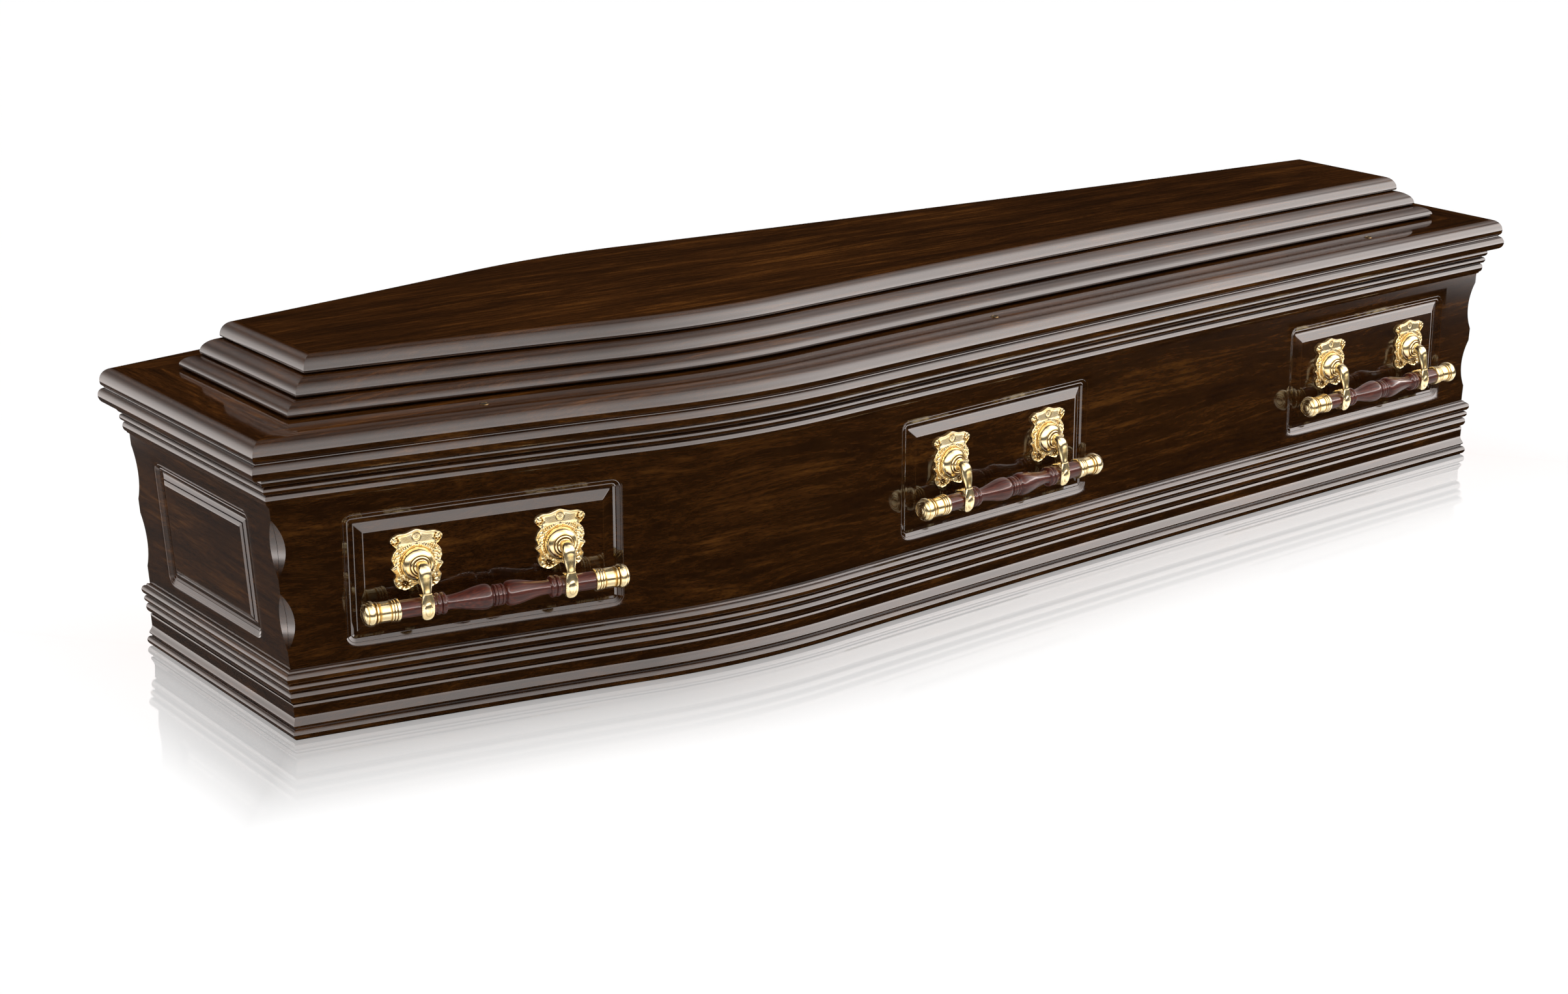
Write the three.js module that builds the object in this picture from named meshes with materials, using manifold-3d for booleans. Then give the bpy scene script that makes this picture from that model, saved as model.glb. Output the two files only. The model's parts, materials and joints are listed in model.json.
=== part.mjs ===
// A shouldered wooden coffin with a stepped raised lid, raked ends, routed panels and six bar handles.
// Millimetres, +Z up. The head end is towards -X, the right side towards -Y, and the origin lies on the
// floor midway along and across. Insets are measured inwards from the nose line of the lid's rim.
import * as THREE from "three";
import { mergeVertices } from "three/addons/utils/BufferGeometryUtils.js";
import Module from "manifold-3d";

// Plan: the nose line of the lid's rim, one side of it
const LENGTH = 2000;
const HEAD_HALF_WIDTH = 202;
const FOOT_HALF_WIDTH = 205;
const SHOULDER_X = -411;
const SHOULDER_HALF_WIDTH = 311.5;
const SHOULDER_ROUNDING = 142;
const HEAD_SAG = 3;
const FOOT_SAG = 9;

// Heights
const LID_TOP = 412;
const RIM_TOP = 352.5;
const LID_UNDERSIDE = 309;
const FLOOR_UNDERSIDE = 12;
const PLINTH_HEIGHT = 41.5;
const LOWER_MOULDING_TOP = 81;
const UPPER_MOULDING_FOOT = 272;

// Boards, joints and the lean of the two ends
const BOARD = 18;
const WALL_INSET = 22.5;
const LID_TOP_INSET = 129;
const REBATE = 11;
const END_LEAN = 22;
const RAKE = Math.atan(END_LEAN / LID_UNDERSIDE);
const GAP = 0.3;

// Routed panels: outer size, middle height, and their places along the sides
const PANEL_LENGTH = 330;
const END_PANEL_LENGTH = 244;
const PANEL_HEIGHT = 154;
const PANEL_MIDDLE = 175.8;
const PANEL_CORNER = 12;
const PANEL_DEPTH = 4.5;
const PANEL_STEP = 2;
const PANEL_PLACES = { head: -731, middle: 4, foot: 736 };

// Scallops: two hollows cut across each upright corner
const SCALLOP_LENGTH = 68;
const SCALLOP_DEPTH = 7;
const SCALLOP_MIDDLES = [134.5, 220.5];

// Handles, each on a side panel and a little nearer the foot than its middle
const HANDLE_SHIFT = 4;
const BRACKET_SPACING = 172;
const BOSS_HEIGHT = 185;
const PLATE_THICKNESS = 4;
const ARM_WIDTH = 15;
const BAR_DROP = 43.5;
const BAR_STANDOFF = 24;
const BAR_RADIUS = 10.5;
const BAR_HALF_LENGTH = 154.5;
const CAP_MOUTH = 117;
const HANDLE_HALF_LENGTH = 159.5;
const LATHE_SIDES = 8;

const wasm = await Module();
wasm.setup();

const veneer = () => new THREE.MeshStandardMaterial({ color: 0x2a1a10, roughness: 0.18, metalness: 0 });
const gilt = () => new THREE.MeshStandardMaterial({ color: 0xd9a94e, roughness: 0.15, metalness: 1 });
const turnedWood = () => new THREE.MeshStandardMaterial({ color: 0x4a1a16, roughness: 0.2, metalness: 0 });

const coffin = new THREE.Group();

function piece(name, geometry, material, parent = coffin) {
  const mesh = new THREE.Mesh(geometry, material);
  mesh.name = name;
  parent.add(mesh);
  return mesh;
}

// Booleans: a closed geometry as a solid, and back
function solidOf(geometry) {
  const loose = geometry.index ? geometry.toNonIndexed() : geometry;
  const bare = new THREE.BufferGeometry().setAttribute("position", loose.getAttribute("position"));
  const merged = mergeVertices(bare, 1e-3);
  const vertProperties = merged.getAttribute("position").array;
  const triVerts = new Uint32Array(merged.index.array);
  return new wasm.Manifold(new wasm.Mesh({ numProp: 3, vertProperties, triVerts }));
}

function geometryOf(solid) {
  const { vertProperties, triVerts } = solid.getMesh();
  return new THREE.BufferGeometry()
    .setAttribute("position", new THREE.BufferAttribute(vertProperties, 3))
    .setIndex(new THREE.BufferAttribute(triVerts, 1));
}

// A geometry from points and triangles, with its faces turned outwards
function closedGeometry(points, triangles) {
  const corner = new THREE.Vector3();
  const volume = triangles.reduce(
    (sum, [a, b, c]) => sum + points[a].dot(corner.crossVectors(points[b], points[c])),
    0,
  );
  const outward = volume > 0 ? triangles : triangles.map(([a, b, c]) => [a, c, b]);
  return new THREE.BufferGeometry().setFromPoints(points).setIndex(outward.flat());
}

// The nose line: a slightly hollow straight from the head, the rounded shoulder, and another to the foot
const head = new THREE.Vector2(-LENGTH / 2, HEAD_HALF_WIDTH);
const shoulder = new THREE.Vector2(SHOULDER_X, SHOULDER_HALF_WIDTH);
const foot = new THREE.Vector2(LENGTH / 2, FOOT_HALF_WIDTH);

function sagPoint(end, sag) {
  const along = shoulder.clone().sub(end).normalize();
  const across = new THREE.Vector2(along.y, -along.x).multiplyScalar(Math.sign(along.x));
  return end.clone().add(shoulder).multiplyScalar(0.5).addScaledVector(across, 2 * sag);
}

function towards(start, target, distance) {
  return start.clone().add(target.clone().sub(start).setLength(distance));
}

const headSag = sagPoint(head, HEAD_SAG);
const footSag = sagPoint(foot, FOOT_SAG);
const shoulderStart = towards(shoulder, headSag, SHOULDER_ROUNDING);
const shoulderEnd = towards(shoulder, footSag, SHOULDER_ROUNDING);
const headCurve = new THREE.QuadraticBezierCurve(head, headSag, shoulderStart);
const shoulderCurve = new THREE.QuadraticBezierCurve(shoulderStart, shoulder, shoulderEnd);
const footCurve = new THREE.QuadraticBezierCurve(shoulderEnd, footSag, foot);

// The shoulder's widest place, so that the facets keep the full width
const rise = shoulder.y - shoulderStart.y;
const widest = rise / (rise + shoulder.y - shoulderEnd.y);

function sample(curve, t) {
  const tangent = curve.getTangent(t);
  return { point: curve.getPoint(t), inwards: new THREE.Vector2(tangent.y, -tangent.x) };
}

const noseLine = [
  sample(headCurve, 0),
  ...[0, widest / 2, widest, 1].map((t) => sample(shoulderCurve, t)),
  ...[0.5, 1].map((t) => sample(footCurve, t)),
];

function carryTo(x, near, next) {
  return new THREE.Vector2(x, near.y + ((x - near.x) * (next.y - near.y)) / (next.x - near.x));
}

// The side line at an inset, from the head corner to the foot corner, with the ends set in by endInset
function insetLine(inset, endInset) {
  const line = noseLine.map(({ point, inwards }) => point.clone().addScaledVector(inwards, inset));
  const last = line.length - 1;
  line[0] = carryTo(endInset - LENGTH / 2, line[0], line[1]);
  line[last] = carryTo(LENGTH / 2 - endInset, line[last], line[last - 1]);
  return line;
}

// Below the lid the ends lean inwards on the way down
function endInset(inset, z) {
  return inset + Math.max(0, LID_UNDERSIDE - z) * Math.tan(RAKE);
}

// A moulding's section is a list of (inset, height) points. Sections along its run are joined and capped.
function loft(outline, sections) {
  const count = outline.length;
  const triangles = [];
  for (let s = 0; s + 1 < sections.length; s++) {
    for (let i = 0; i < count; i++) {
      const a = s * count + i;
      const b = s * count + ((i + 1) % count);
      triangles.push([a, b, b + count], [a, b + count, a + count]);
    }
  }
  const end = (sections.length - 1) * count;
  for (const [a, b, c] of THREE.ShapeUtils.triangulateShape(outline, [])) {
    triangles.push([c, b, a], [end + a, end + b, end + c]);
  }
  return closedGeometry(sections.flat(), triangles);
}

// Anticlockwise outline, as the caps need it
function sectionOutline(points) {
  const outline = points.map(([inset, z]) => new THREE.Vector2(inset, z));
  return THREE.ShapeUtils.isClockWise(outline) ? outline.reverse() : outline;
}

function sideLength(points, ySign) {
  const outline = sectionOutline(points);
  const lines = outline.map(({ x, y }) => insetLine(x, endInset(x, y) + GAP));
  const sections = noseLine.map((_, s) =>
    lines.map((line, i) => new THREE.Vector3(line[s].x, ySign * line[s].y, outline[i].y)),
  );
  return loft(outline, sections);
}

function endLength(points, xSign) {
  const outline = sectionOutline(points);
  const corners = outline.map(({ x, y }) => insetLine(x, endInset(x, y)).at(xSign < 0 ? 0 : -1));
  const sections = [-1, 1].map((ySign) =>
    corners.map((corner, i) => new THREE.Vector3(corner.x, ySign * (corner.y - GAP), outline[i].y)),
  );
  return loft(outline, sections);
}

const SIDES = { right: -1, left: 1 };
const ENDS = { head: -1, foot: 1 };

// Four mitred lengths round the coffin
function mouldingRound(name, points) {
  for (const [side, ySign] of Object.entries(SIDES)) piece(`${name}_${side}`, sideLength(points, ySign), veneer());
  for (const [end, xSign] of Object.entries(ENDS)) piece(`${name}_${end}`, endLength(points, xSign), veneer());
}

// Points of a bead from its upper root down to its nose, standing out to an inset, and short of its lower root
function bead(rootInset, noseInset, top, bottom, steps = 3) {
  return Array.from({ length: steps }, (_, i) => {
    const turn = (Math.PI * i) / steps;
    const height = (top + bottom) / 2 + (Math.cos(turn) * (top - bottom)) / 2;
    return [rootInset - Math.sin(turn) * (rootInset - noseInset), height];
  });
}

// Points of a quarter round, from level at its top to upright at its nose
function quarterRound(topInset, noseInset, top, bottom, steps = 3) {
  return Array.from({ length: steps + 1 }, (_, i) => {
    const turn = (Math.PI / 2) * (i / steps);
    return [topInset - Math.sin(turn) * (topInset - noseInset), bottom + Math.cos(turn) * (top - bottom)];
  });
}

// A flat board filling the plan inside an inset
function boardWithin(inset, bottom, top) {
  const ring = (z) => {
    const line = insetLine(inset, endInset(inset, z));
    const right = line.map(({ x, y }) => new THREE.Vector3(x, -y, z));
    const left = line.map(({ x, y }) => new THREE.Vector3(x, y, z)).reverse();
    return [...right, ...left];
  };
  const sections = [ring(bottom), ring(top)];
  return loft(sections[0].map(({ x, y }) => new THREE.Vector2(x, y)), sections);
}

// The wall's own frame at a place along a side: u along the wall, v up and n outwards
function sideFrame(x, ySign, z) {
  const line = insetLine(WALL_INSET, endInset(WALL_INSET, z));
  const next = line.findIndex((point) => point.x > x);
  const along = line[next].clone().sub(line[next - 1]).normalize();
  const u = new THREE.Vector3(along.x, ySign * along.y, 0).multiplyScalar(-ySign);
  const v = new THREE.Vector3(0, 0, 1);
  const n = new THREE.Vector3().crossVectors(u, v);
  const place = carryTo(x, line[next - 1], line[next]);
  return new THREE.Matrix4().makeBasis(u, v, n).setPosition(place.x, ySign * place.y, z);
}

function endFrame(xSign, z) {
  const u = new THREE.Vector3(0, xSign, 0);
  const v = new THREE.Vector3(xSign * Math.sin(RAKE), 0, Math.cos(RAKE));
  const n = new THREE.Vector3().crossVectors(u, v);
  const x = xSign * (LENGTH / 2 - endInset(WALL_INSET, z));
  return new THREE.Matrix4().makeBasis(u, v, n).setPosition(x, 0, z);
}

// One turn round a panel, set in from its outer edge: a rectangle with round corners
function panelTurn(length, inset, out) {
  const radius = Math.max(PANEL_CORNER - inset, 1);
  const cornerX = length / 2 - inset - radius;
  const cornerY = PANEL_HEIGHT / 2 - inset - radius;
  const points = [];
  for (let quarter = 0; quarter < 4; quarter++) {
    for (const turn of [0, Math.PI / 4, Math.PI / 2]) {
      const angle = quarter * (Math.PI / 2) + turn;
      const right = quarter === 0 || quarter === 3 ? 1 : -1;
      const upper = quarter < 2 ? 1 : -1;
      const x = right * cornerX + radius * Math.cos(angle);
      const y = upper * cornerY + radius * Math.sin(angle);
      points.push(new THREE.Vector3(x, y, out));
    }
  }
  return points;
}

// The channel routed round a panel: a small step, a cove, a flat and the bevel up to the field
function panelChannel(length) {
  const clear = 1;
  const coveEnd = 10;
  const flatEnd = 15;
  const bevelEnd = 25;
  const overrun = ((bevelEnd - flatEnd) * clear) / PANEL_DEPTH;
  const section = [
    [0, clear],
    [0, -PANEL_STEP],
    [coveEnd, -PANEL_DEPTH],
    [flatEnd, -PANEL_DEPTH],
    [bevelEnd + overrun, clear],
  ];
  const turns = section.map(([inset, out]) => panelTurn(length, inset, out));
  const count = turns[0].length;
  const triangles = [];
  turns.forEach((_, k) => {
    const next = (k + 1) % turns.length;
    for (let i = 0; i < count; i++) {
      const j = (i + 1) % count;
      triangles.push([k * count + i, k * count + j, next * count + j]);
      triangles.push([k * count + i, next * count + j, next * count + i]);
    }
  });
  return closedGeometry(turns.flat(), triangles);
}

// The hollow across a corner is part of a wide cylinder that lies level, square to the corner's diagonal
function scallopCutter(xSign, ySign, z) {
  const halfLength = SCALLOP_LENGTH / 2;
  const radius = (halfLength ** 2 + SCALLOP_DEPTH ** 2) / (2 * SCALLOP_DEPTH);
  const facets = 48;
  const corner = insetLine(WALL_INSET, endInset(WALL_INSET, z)).at(xSign < 0 ? 0 : -1);
  const out = new THREE.Vector2(xSign, ySign).normalize();
  const centre = new THREE.Vector2(corner.x, ySign * corner.y).addScaledVector(out, radius - SCALLOP_DEPTH);
  return new THREE.CylinderGeometry(radius, radius, 4 * BOARD, facets)
    .rotateZ(Math.atan2(out.y, out.x))
    .translate(centre.x, centre.y, z);
}

const scallops = {};
for (const [end, xSign] of Object.entries(ENDS)) {
  for (const [side, ySign] of Object.entries(SIDES)) {
    scallops[`${end}_${side}`] = SCALLOP_MIDDLES.map((z) => solidOf(scallopCutter(xSign, ySign, z)));
  }
}

function cutBoard(board, cutters) {
  return geometryOf(cutters.reduce((rest, cutter) => rest.subtract(cutter), solidOf(board)));
}

// Floor and walls
const wallSection = [
  [WALL_INSET, 0],
  [WALL_INSET, LID_UNDERSIDE - GAP],
  [WALL_INSET + BOARD, LID_UNDERSIDE - GAP],
  [WALL_INSET + BOARD, 0],
];
const floorInset = WALL_INSET + BOARD + GAP;
piece("floor_board", boardWithin(floorInset, FLOOR_UNDERSIDE, FLOOR_UNDERSIDE + BOARD), veneer());

for (const [side, ySign] of Object.entries(SIDES)) {
  const channels = Object.values(PANEL_PLACES).map((x) =>
    solidOf(panelChannel(PANEL_LENGTH).applyMatrix4(sideFrame(x, ySign, PANEL_MIDDLE))),
  );
  const cutters = [...channels, ...scallops[`head_${side}`], ...scallops[`foot_${side}`]];
  piece(`side_board_${side}`, cutBoard(sideLength(wallSection, ySign), cutters), veneer());
}

for (const [end, xSign] of Object.entries(ENDS)) {
  const channel = solidOf(panelChannel(END_PANEL_LENGTH).applyMatrix4(endFrame(xSign, PANEL_MIDDLE)));
  const cutters = [channel, ...scallops[`${end}_right`], ...scallops[`${end}_left`]];
  piece(`${end}_board`, cutBoard(endLength(wallSection, xSign), cutters), veneer());
}

// Mouldings planted on the walls
const wallFace = WALL_INSET - GAP;
mouldingRound("plinth", [
  [wallFace, PLINTH_HEIGHT],
  [19.3, PLINTH_HEIGHT],
  [19.3, 31],
  [18.4, 24],
  [16.4, 19],
  [15.8, 15.5],
  ...bead(18, 12.9, 12, 0),
  [17, 0],
  [wallFace, 0],
]);
mouldingRound("lower_moulding", [
  [wallFace, LOWER_MOULDING_TOP],
  ...bead(18.6, 13.8, 79, 66),
  ...bead(19.4, 15.2, 66, 56),
  ...bead(20, 16.1, 56, 43),
  [20, 43],
  [wallFace, PLINTH_HEIGHT + GAP],
]);
mouldingRound("upper_moulding", [
  [wallFace, LID_UNDERSIDE - GAP],
  ...bead(18, 13.4, LID_UNDERSIDE - GAP, 297.5),
  ...bead(19.2, 15, 297.5, 287.5),
  ...bead(20, 17, 287.5, 274),
  [20, 274],
  [wallFace, UPPER_MOULDING_FOOT],
]);

// Lid: the border with its round nose and lower bead, the stepped moulding on it, and the flat top
const borderWidth = 48;
const borderInner = 112;
mouldingRound("lid_rim", [
  [borderInner, RIM_TOP],
  ...quarterRound(14, 0, RIM_TOP, 337),
  [1.4, 332],
  ...bead(4.6, -2.5, 328.5, LID_UNDERSIDE, 4),
  [4.6, LID_UNDERSIDE],
  [borderWidth, LID_UNDERSIDE],
  [borderWidth, RIM_TOP - BOARD],
  [borderInner, RIM_TOP - BOARD],
]);
const stepFoot = RIM_TOP + GAP;
const ledge = LID_TOP - BOARD;
mouldingRound("lid_step", [
  ...quarterRound(LID_TOP_INSET, 112.7, LID_TOP, 395),
  [113.4, 393],
  ...quarterRound(120, 93.5, 391.5, 374),
  [94.4, 371.5],
  ...quarterRound(100, 74, 370, 358),
  [75, 355],
  [80.5, stepFoot],
  [108, stepFoot],
  [108, 370],
  [LID_TOP_INSET + REBATE, ledge - 10],
  [LID_TOP_INSET + REBATE, ledge],
  [LID_TOP_INSET, ledge],
]);
piece("lid_top_board", boardWithin(LID_TOP_INSET + GAP, ledge + GAP, LID_TOP), veneer());

// Handles, made in the wall's frame about the boss: X along the wall, Y up, Z outwards
function platePart() {
  const half = [
    [0, 40],
    [23, 36.5],
    [30.5, 29],
    [23.5, 20.5],
    [29.5, 8],
    [25.5, -10.5],
    [27.5, -21],
    [14, -30],
    [0, -24],
  ].map(([x, y]) => new THREE.Vector2(x, y));
  const left = half
    .slice(1, -1)
    .map(({ x, y }) => new THREE.Vector2(-x, y))
    .reverse();
  const crown = new THREE.Shape([...half, ...left]);
  return new THREE.ExtrudeGeometry(crown, { depth: PLATE_THICKNESS - GAP, bevelEnabled: false }).translate(0, 0, GAP);
}

function lathe(profile) {
  return new THREE.LatheGeometry(
    profile.map(([radius, along]) => new THREE.Vector2(radius, along)),
    LATHE_SIDES,
  );
}

function bossPart() {
  const inPlate = PLATE_THICKNESS / 2;
  const dome = [
    [0, inPlate],
    [20, inPlate],
    [18, 7],
    [12, 11],
    [11, 15],
    [0, 15],
  ];
  return lathe(dome).rotateX(Math.PI / 2);
}

// The arm is a swan neck seen from the side: out of the collar, down, and round the bar in an eye
function armPart() {
  const eyeSegments = LATHE_SIDES;
  const eyeBore = (BAR_RADIUS + GAP) / Math.cos(Math.PI / eyeSegments);
  const eyeRadius = BAR_RADIUS + 4;
  const neck = new THREE.Shape();
  neck.moveTo(13, 7);
  neck.bezierCurveTo(27, 8, 34, -10, BAR_STANDOFF + eyeRadius, -BAR_DROP);
  neck.absarc(BAR_STANDOFF, -BAR_DROP, eyeRadius, 0, -1.2 * Math.PI, true);
  neck.bezierCurveTo(17, -29, 22, -12, 13, -7);
  const barAxis = new THREE.Vector2(BAR_STANDOFF, -BAR_DROP);
  const bore = Array.from({ length: eyeSegments }, (_, i) =>
    new THREE.Vector2(eyeBore, 0).rotateAround(new THREE.Vector2(), (2 * Math.PI * i) / eyeSegments).add(barAxis),
  );
  neck.holes.push(new THREE.Path(bore));
  return new THREE.ExtrudeGeometry(neck, { depth: ARM_WIDTH, bevelEnabled: false, curveSegments: 3 })
    .translate(0, 0, -ARM_WIDTH / 2)
    .rotateY(-Math.PI / 2);
}

const bracketGeometry = geometryOf(solidOf(platePart()).add(solidOf(bossPart())).add(solidOf(armPart())));

// Half of the bar's outline from its middle ring to its end: a vase and a bead, then plain
const halfBar = [
  [12.5, 0],
  [10, 8],
  [14.8, 16],
  [12, 38],
  [9.5, 60],
  [12.6, 68],
  [BAR_RADIUS, 76],
  [BAR_RADIUS, BAR_HALF_LENGTH - GAP],
  [0, BAR_HALF_LENGTH - GAP],
];

function barGeometry() {
  const lower = halfBar
    .slice(1)
    .map(([radius, along]) => [radius, -along])
    .reverse();
  return lathe([...lower, ...halfBar]).rotateZ(-Math.PI / 2);
}

// A metal cap: ringed mouth, barrel and domed end, with the bar's end in its bore
function capGeometry() {
  const bore = BAR_RADIUS + GAP;
  const profile = [
    [0, BAR_HALF_LENGTH],
    [bore, BAR_HALF_LENGTH],
    [bore, CAP_MOUTH],
    [13, CAP_MOUTH],
    [13, CAP_MOUTH + 9],
    [11.8, CAP_MOUTH + 13],
    [14.5, HANDLE_HALF_LENGTH - 9.5],
    [13.5, HANDLE_HALF_LENGTH - 3.5],
    [0, HANDLE_HALF_LENGTH],
  ];
  return lathe(profile).rotateZ(-Math.PI / 2);
}

for (const [side, ySign] of Object.entries(SIDES)) {
  for (const [place, x] of Object.entries(PANEL_PLACES)) {
    const handle = new THREE.Group();
    handle.applyMatrix4(sideFrame(x + HANDLE_SHIFT, ySign, BOSS_HEIGHT));
    coffin.add(handle);
    const name = `${side}_${place}`;
    const bar = piece(`bar_${name}`, barGeometry(), turnedWood(), handle);
    bar.position.set(0, -BAR_DROP, BAR_STANDOFF);
    for (const [letter, sign] of Object.entries({ a: -1, b: 1 })) {
      const bracket = piece(`bracket_${name}_${letter}`, bracketGeometry, gilt(), handle);
      bracket.position.x = (sign * BRACKET_SPACING) / 2;
      const cap = piece(`cap_${name}_${letter}`, capGeometry(), gilt(), handle);
      cap.position.copy(bar.position);
      cap.rotation.y = sign < 0 ? Math.PI : 0;
    }
  }
}

export default coffin;
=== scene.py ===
import json
import math
import bmesh
import bpy
import numpy as np
from mathutils import Matrix, Vector

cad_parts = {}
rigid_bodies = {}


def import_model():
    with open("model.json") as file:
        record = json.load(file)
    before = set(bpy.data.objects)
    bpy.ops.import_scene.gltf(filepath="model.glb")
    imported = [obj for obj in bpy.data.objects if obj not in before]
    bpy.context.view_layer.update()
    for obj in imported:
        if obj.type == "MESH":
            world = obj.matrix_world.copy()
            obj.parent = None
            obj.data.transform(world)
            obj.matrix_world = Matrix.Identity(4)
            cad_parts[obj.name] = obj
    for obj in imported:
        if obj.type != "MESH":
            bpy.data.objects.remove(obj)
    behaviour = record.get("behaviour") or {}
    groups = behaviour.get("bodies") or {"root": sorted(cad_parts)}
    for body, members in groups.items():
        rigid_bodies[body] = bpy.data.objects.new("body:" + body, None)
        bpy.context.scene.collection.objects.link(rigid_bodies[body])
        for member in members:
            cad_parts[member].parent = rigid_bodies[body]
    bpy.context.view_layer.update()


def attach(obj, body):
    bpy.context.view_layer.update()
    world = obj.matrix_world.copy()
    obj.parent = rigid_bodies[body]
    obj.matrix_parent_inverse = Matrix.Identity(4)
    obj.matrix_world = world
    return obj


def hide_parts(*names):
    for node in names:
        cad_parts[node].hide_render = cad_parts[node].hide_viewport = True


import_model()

# Floor board
# The bottom is one flat board cut to the shouldered plan and let in between the walls. It is 18 mm of
# veneered board, glued and pinned through the walls, and lacquered with the rest of the box.
MM = 0.001
HALF_LENGTH = 1000.0
HEAD_HALF_WIDTH = 202.0
FOOT_HALF_WIDTH = 205.0
SHOULDER_X = -411.0
SHOULDER_HALF_WIDTH = 311.5
SHOULDER_ROUNDING = 142.0
HEAD_SAG, FOOT_SAG = 3.0, 9.0
OVERRUN = 400.0
BOARD = 18.0
FLOOR_UNDERSIDE = 12.0
FLOOR_INSET = 40.8
EASED_EDGE = 0.6
LID_UNDERSIDE = 309.0
END_LEAN = 22.0
GRAIN = {"figure": (420.0, 120.0, 2.0), "streak": (90.0, 4.5, 4.0), "band": (320.0, 26.0, 2.0),
         "pore": (11.0, 1.0, 2.0)}
FIGURE_SWAY = 46.0
CLOUD = 260.0
COAT_IOR = 1.5


def colour(code):
    """A linear RGBA colour from an sRGB hex code."""
    parts = [int(code[i:i + 2], 16) / 255 for i in (1, 3, 5)]
    return [p / 12.92 if p <= 0.04045 else ((p + 0.055) / 1.055) ** 2.4 for p in parts] + [1.0]


def add_node(tree, kind, inputs, stops=(), **settings):
    """Adds a shader node with its settings; an input that is another node's output is linked."""
    made = tree.nodes.new("ShaderNode" + kind)
    for name, value in settings.items():
        setattr(made, name, value)
    for place, (position, code) in enumerate(stops):
        if place > 1:
            made.color_ramp.elements.new(position)
        made.color_ramp.elements[place].position = position
        made.color_ramp.elements[place].color = colour(code)
    for name, value in inputs.items():
        if isinstance(value, bpy.types.NodeSocket):
            tree.links.new(value, made.inputs[name])
        else:
            made.inputs[name].default_value = value
    return made


def new_material(name):
    """A named material with its node tree emptied, and the tree's output node."""
    made = bpy.data.materials.new(name)
    made.use_nodes = True
    made.node_tree.nodes.clear()
    return made, made.node_tree, made.node_tree.nodes.new("ShaderNodeOutputMaterial")


def lacquered_veneer(name, grain_axis):
    """Dark walnut-brown veneer under a thick clear gloss: long warm streaks that wander over a nearly black
    ground, fine dark pores between them, and a coat that mirrors the lamps in soft wide bands."""
    made, tree, output = new_material(name)
    place = add_node(tree, "TexCoord", {}).outputs["Object"]
    at, grain = place, {}
    for part, (length, width, detail) in GRAIN.items():
        scale = [1 / (MM * (length if axis == grain_axis else width)) for axis in "XYZ"]
        mapped = add_node(tree, "Mapping", {"Vector": at, "Scale": scale})
        grain[part] = add_node(tree, "TexNoise", {"Vector": mapped.outputs[0], "Scale": 1.0,
                                                  "Detail": detail})
        if part == "figure":
            sway = add_node(tree, "VectorMath", {0: grain[part].outputs["Color"], 1: (0.5, 0.5, 0.5)},
                            operation="SUBTRACT")
            at = add_node(tree, "VectorMath", {0: sway.outputs[0], 1: [FIGURE_SWAY * MM] * 3, 2: place},
                          operation="MULTIPLY_ADD").outputs[0]
    streak, pore = grain["streak"], grain["pore"]
    cloud = add_node(tree, "TexNoise", {"Vector": place, "Scale": 1 / (MM * CLOUD), "Detail": 2.0})
    mixed = add_node(tree, "Math", {0: streak.outputs["Fac"], 1: 0.55}, operation="MULTIPLY")
    figured = add_node(tree, "Math", {0: grain["band"].outputs["Fac"], 1: 0.45, 2: mixed.outputs[0]},
                       operation="MULTIPLY_ADD")
    stain = add_node(tree, "ValToRGB", {"Fac": figured.outputs[0]}, stops=(
        (0.36, "#241306"), (0.47, "#2f1a08"), (0.56, "#3a210b"), (0.68, "#553413")))
    pores = add_node(tree, "MapRange", {"Value": pore.outputs["Fac"], "From Min": 0.32, "From Max": 0.66,
                                        "To Min": 0.62, "To Max": 1.22})
    clouds = add_node(tree, "MapRange", {"Value": cloud.outputs["Fac"], "From Min": 0.3, "From Max": 0.7,
                                         "To Min": 0.85, "To Max": 1.15})
    shade = add_node(tree, "Math", {0: pores.outputs[0], 1: clouds.outputs[0]}, operation="MULTIPLY")
    ground = add_node(tree, "VectorMath", {0: stain.outputs[0], "Scale": shade.outputs[0]}, operation="SCALE")
    worn = add_node(tree, "Attribute", {}, attribute_name="wear")
    rubbed = add_node(tree, "Math", {0: worn.outputs["Fac"], 1: cloud.outputs["Fac"]}, operation="MULTIPLY")
    faint = add_node(tree, "Math", {0: rubbed.outputs[0], 1: 0.25}, operation="MULTIPLY")
    skin = add_node(tree, "Mix", {0: faint.outputs[0], 6: ground.outputs[0], 7: colour("#6a4520")},
                    data_type="RGBA")
    rough = add_node(tree, "MapRange", {"Value": streak.outputs["Fac"], "From Min": 0.3, "From Max": 0.7,
                                        "To Min": 0.5, "To Max": 0.34})
    bump = add_node(tree, "Bump", {"Height": pore.outputs["Fac"], "Strength": 0.2, "Distance": 0.1 * MM})
    shader = add_node(tree, "BsdfPrincipled", {
        "Base Color": skin.outputs[2], "Roughness": rough.outputs[0], "Normal": bump.outputs[0],
        "Coat Weight": 1.0, "Coat Roughness": 0.07, "Coat IOR": COAT_IOR, "Specular IOR Level": 0.0})
    tree.links.new(shader.outputs[0], output.inputs[0])
    return made


def toward(start, target, distance):
    """The point a distance from start on the way to target."""
    return start + (target - start) * distance / np.linalg.norm(target - start)


def sag_point(end, sag):
    """The pull point that makes the side between an end and the shoulder slightly hollow."""
    run = (shoulder - end) / np.linalg.norm(shoulder - end)
    across = np.array([run[1], -run[0]]) * np.sign(run[0])
    return (end + shoulder) / 2 + across * 2 * sag


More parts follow.
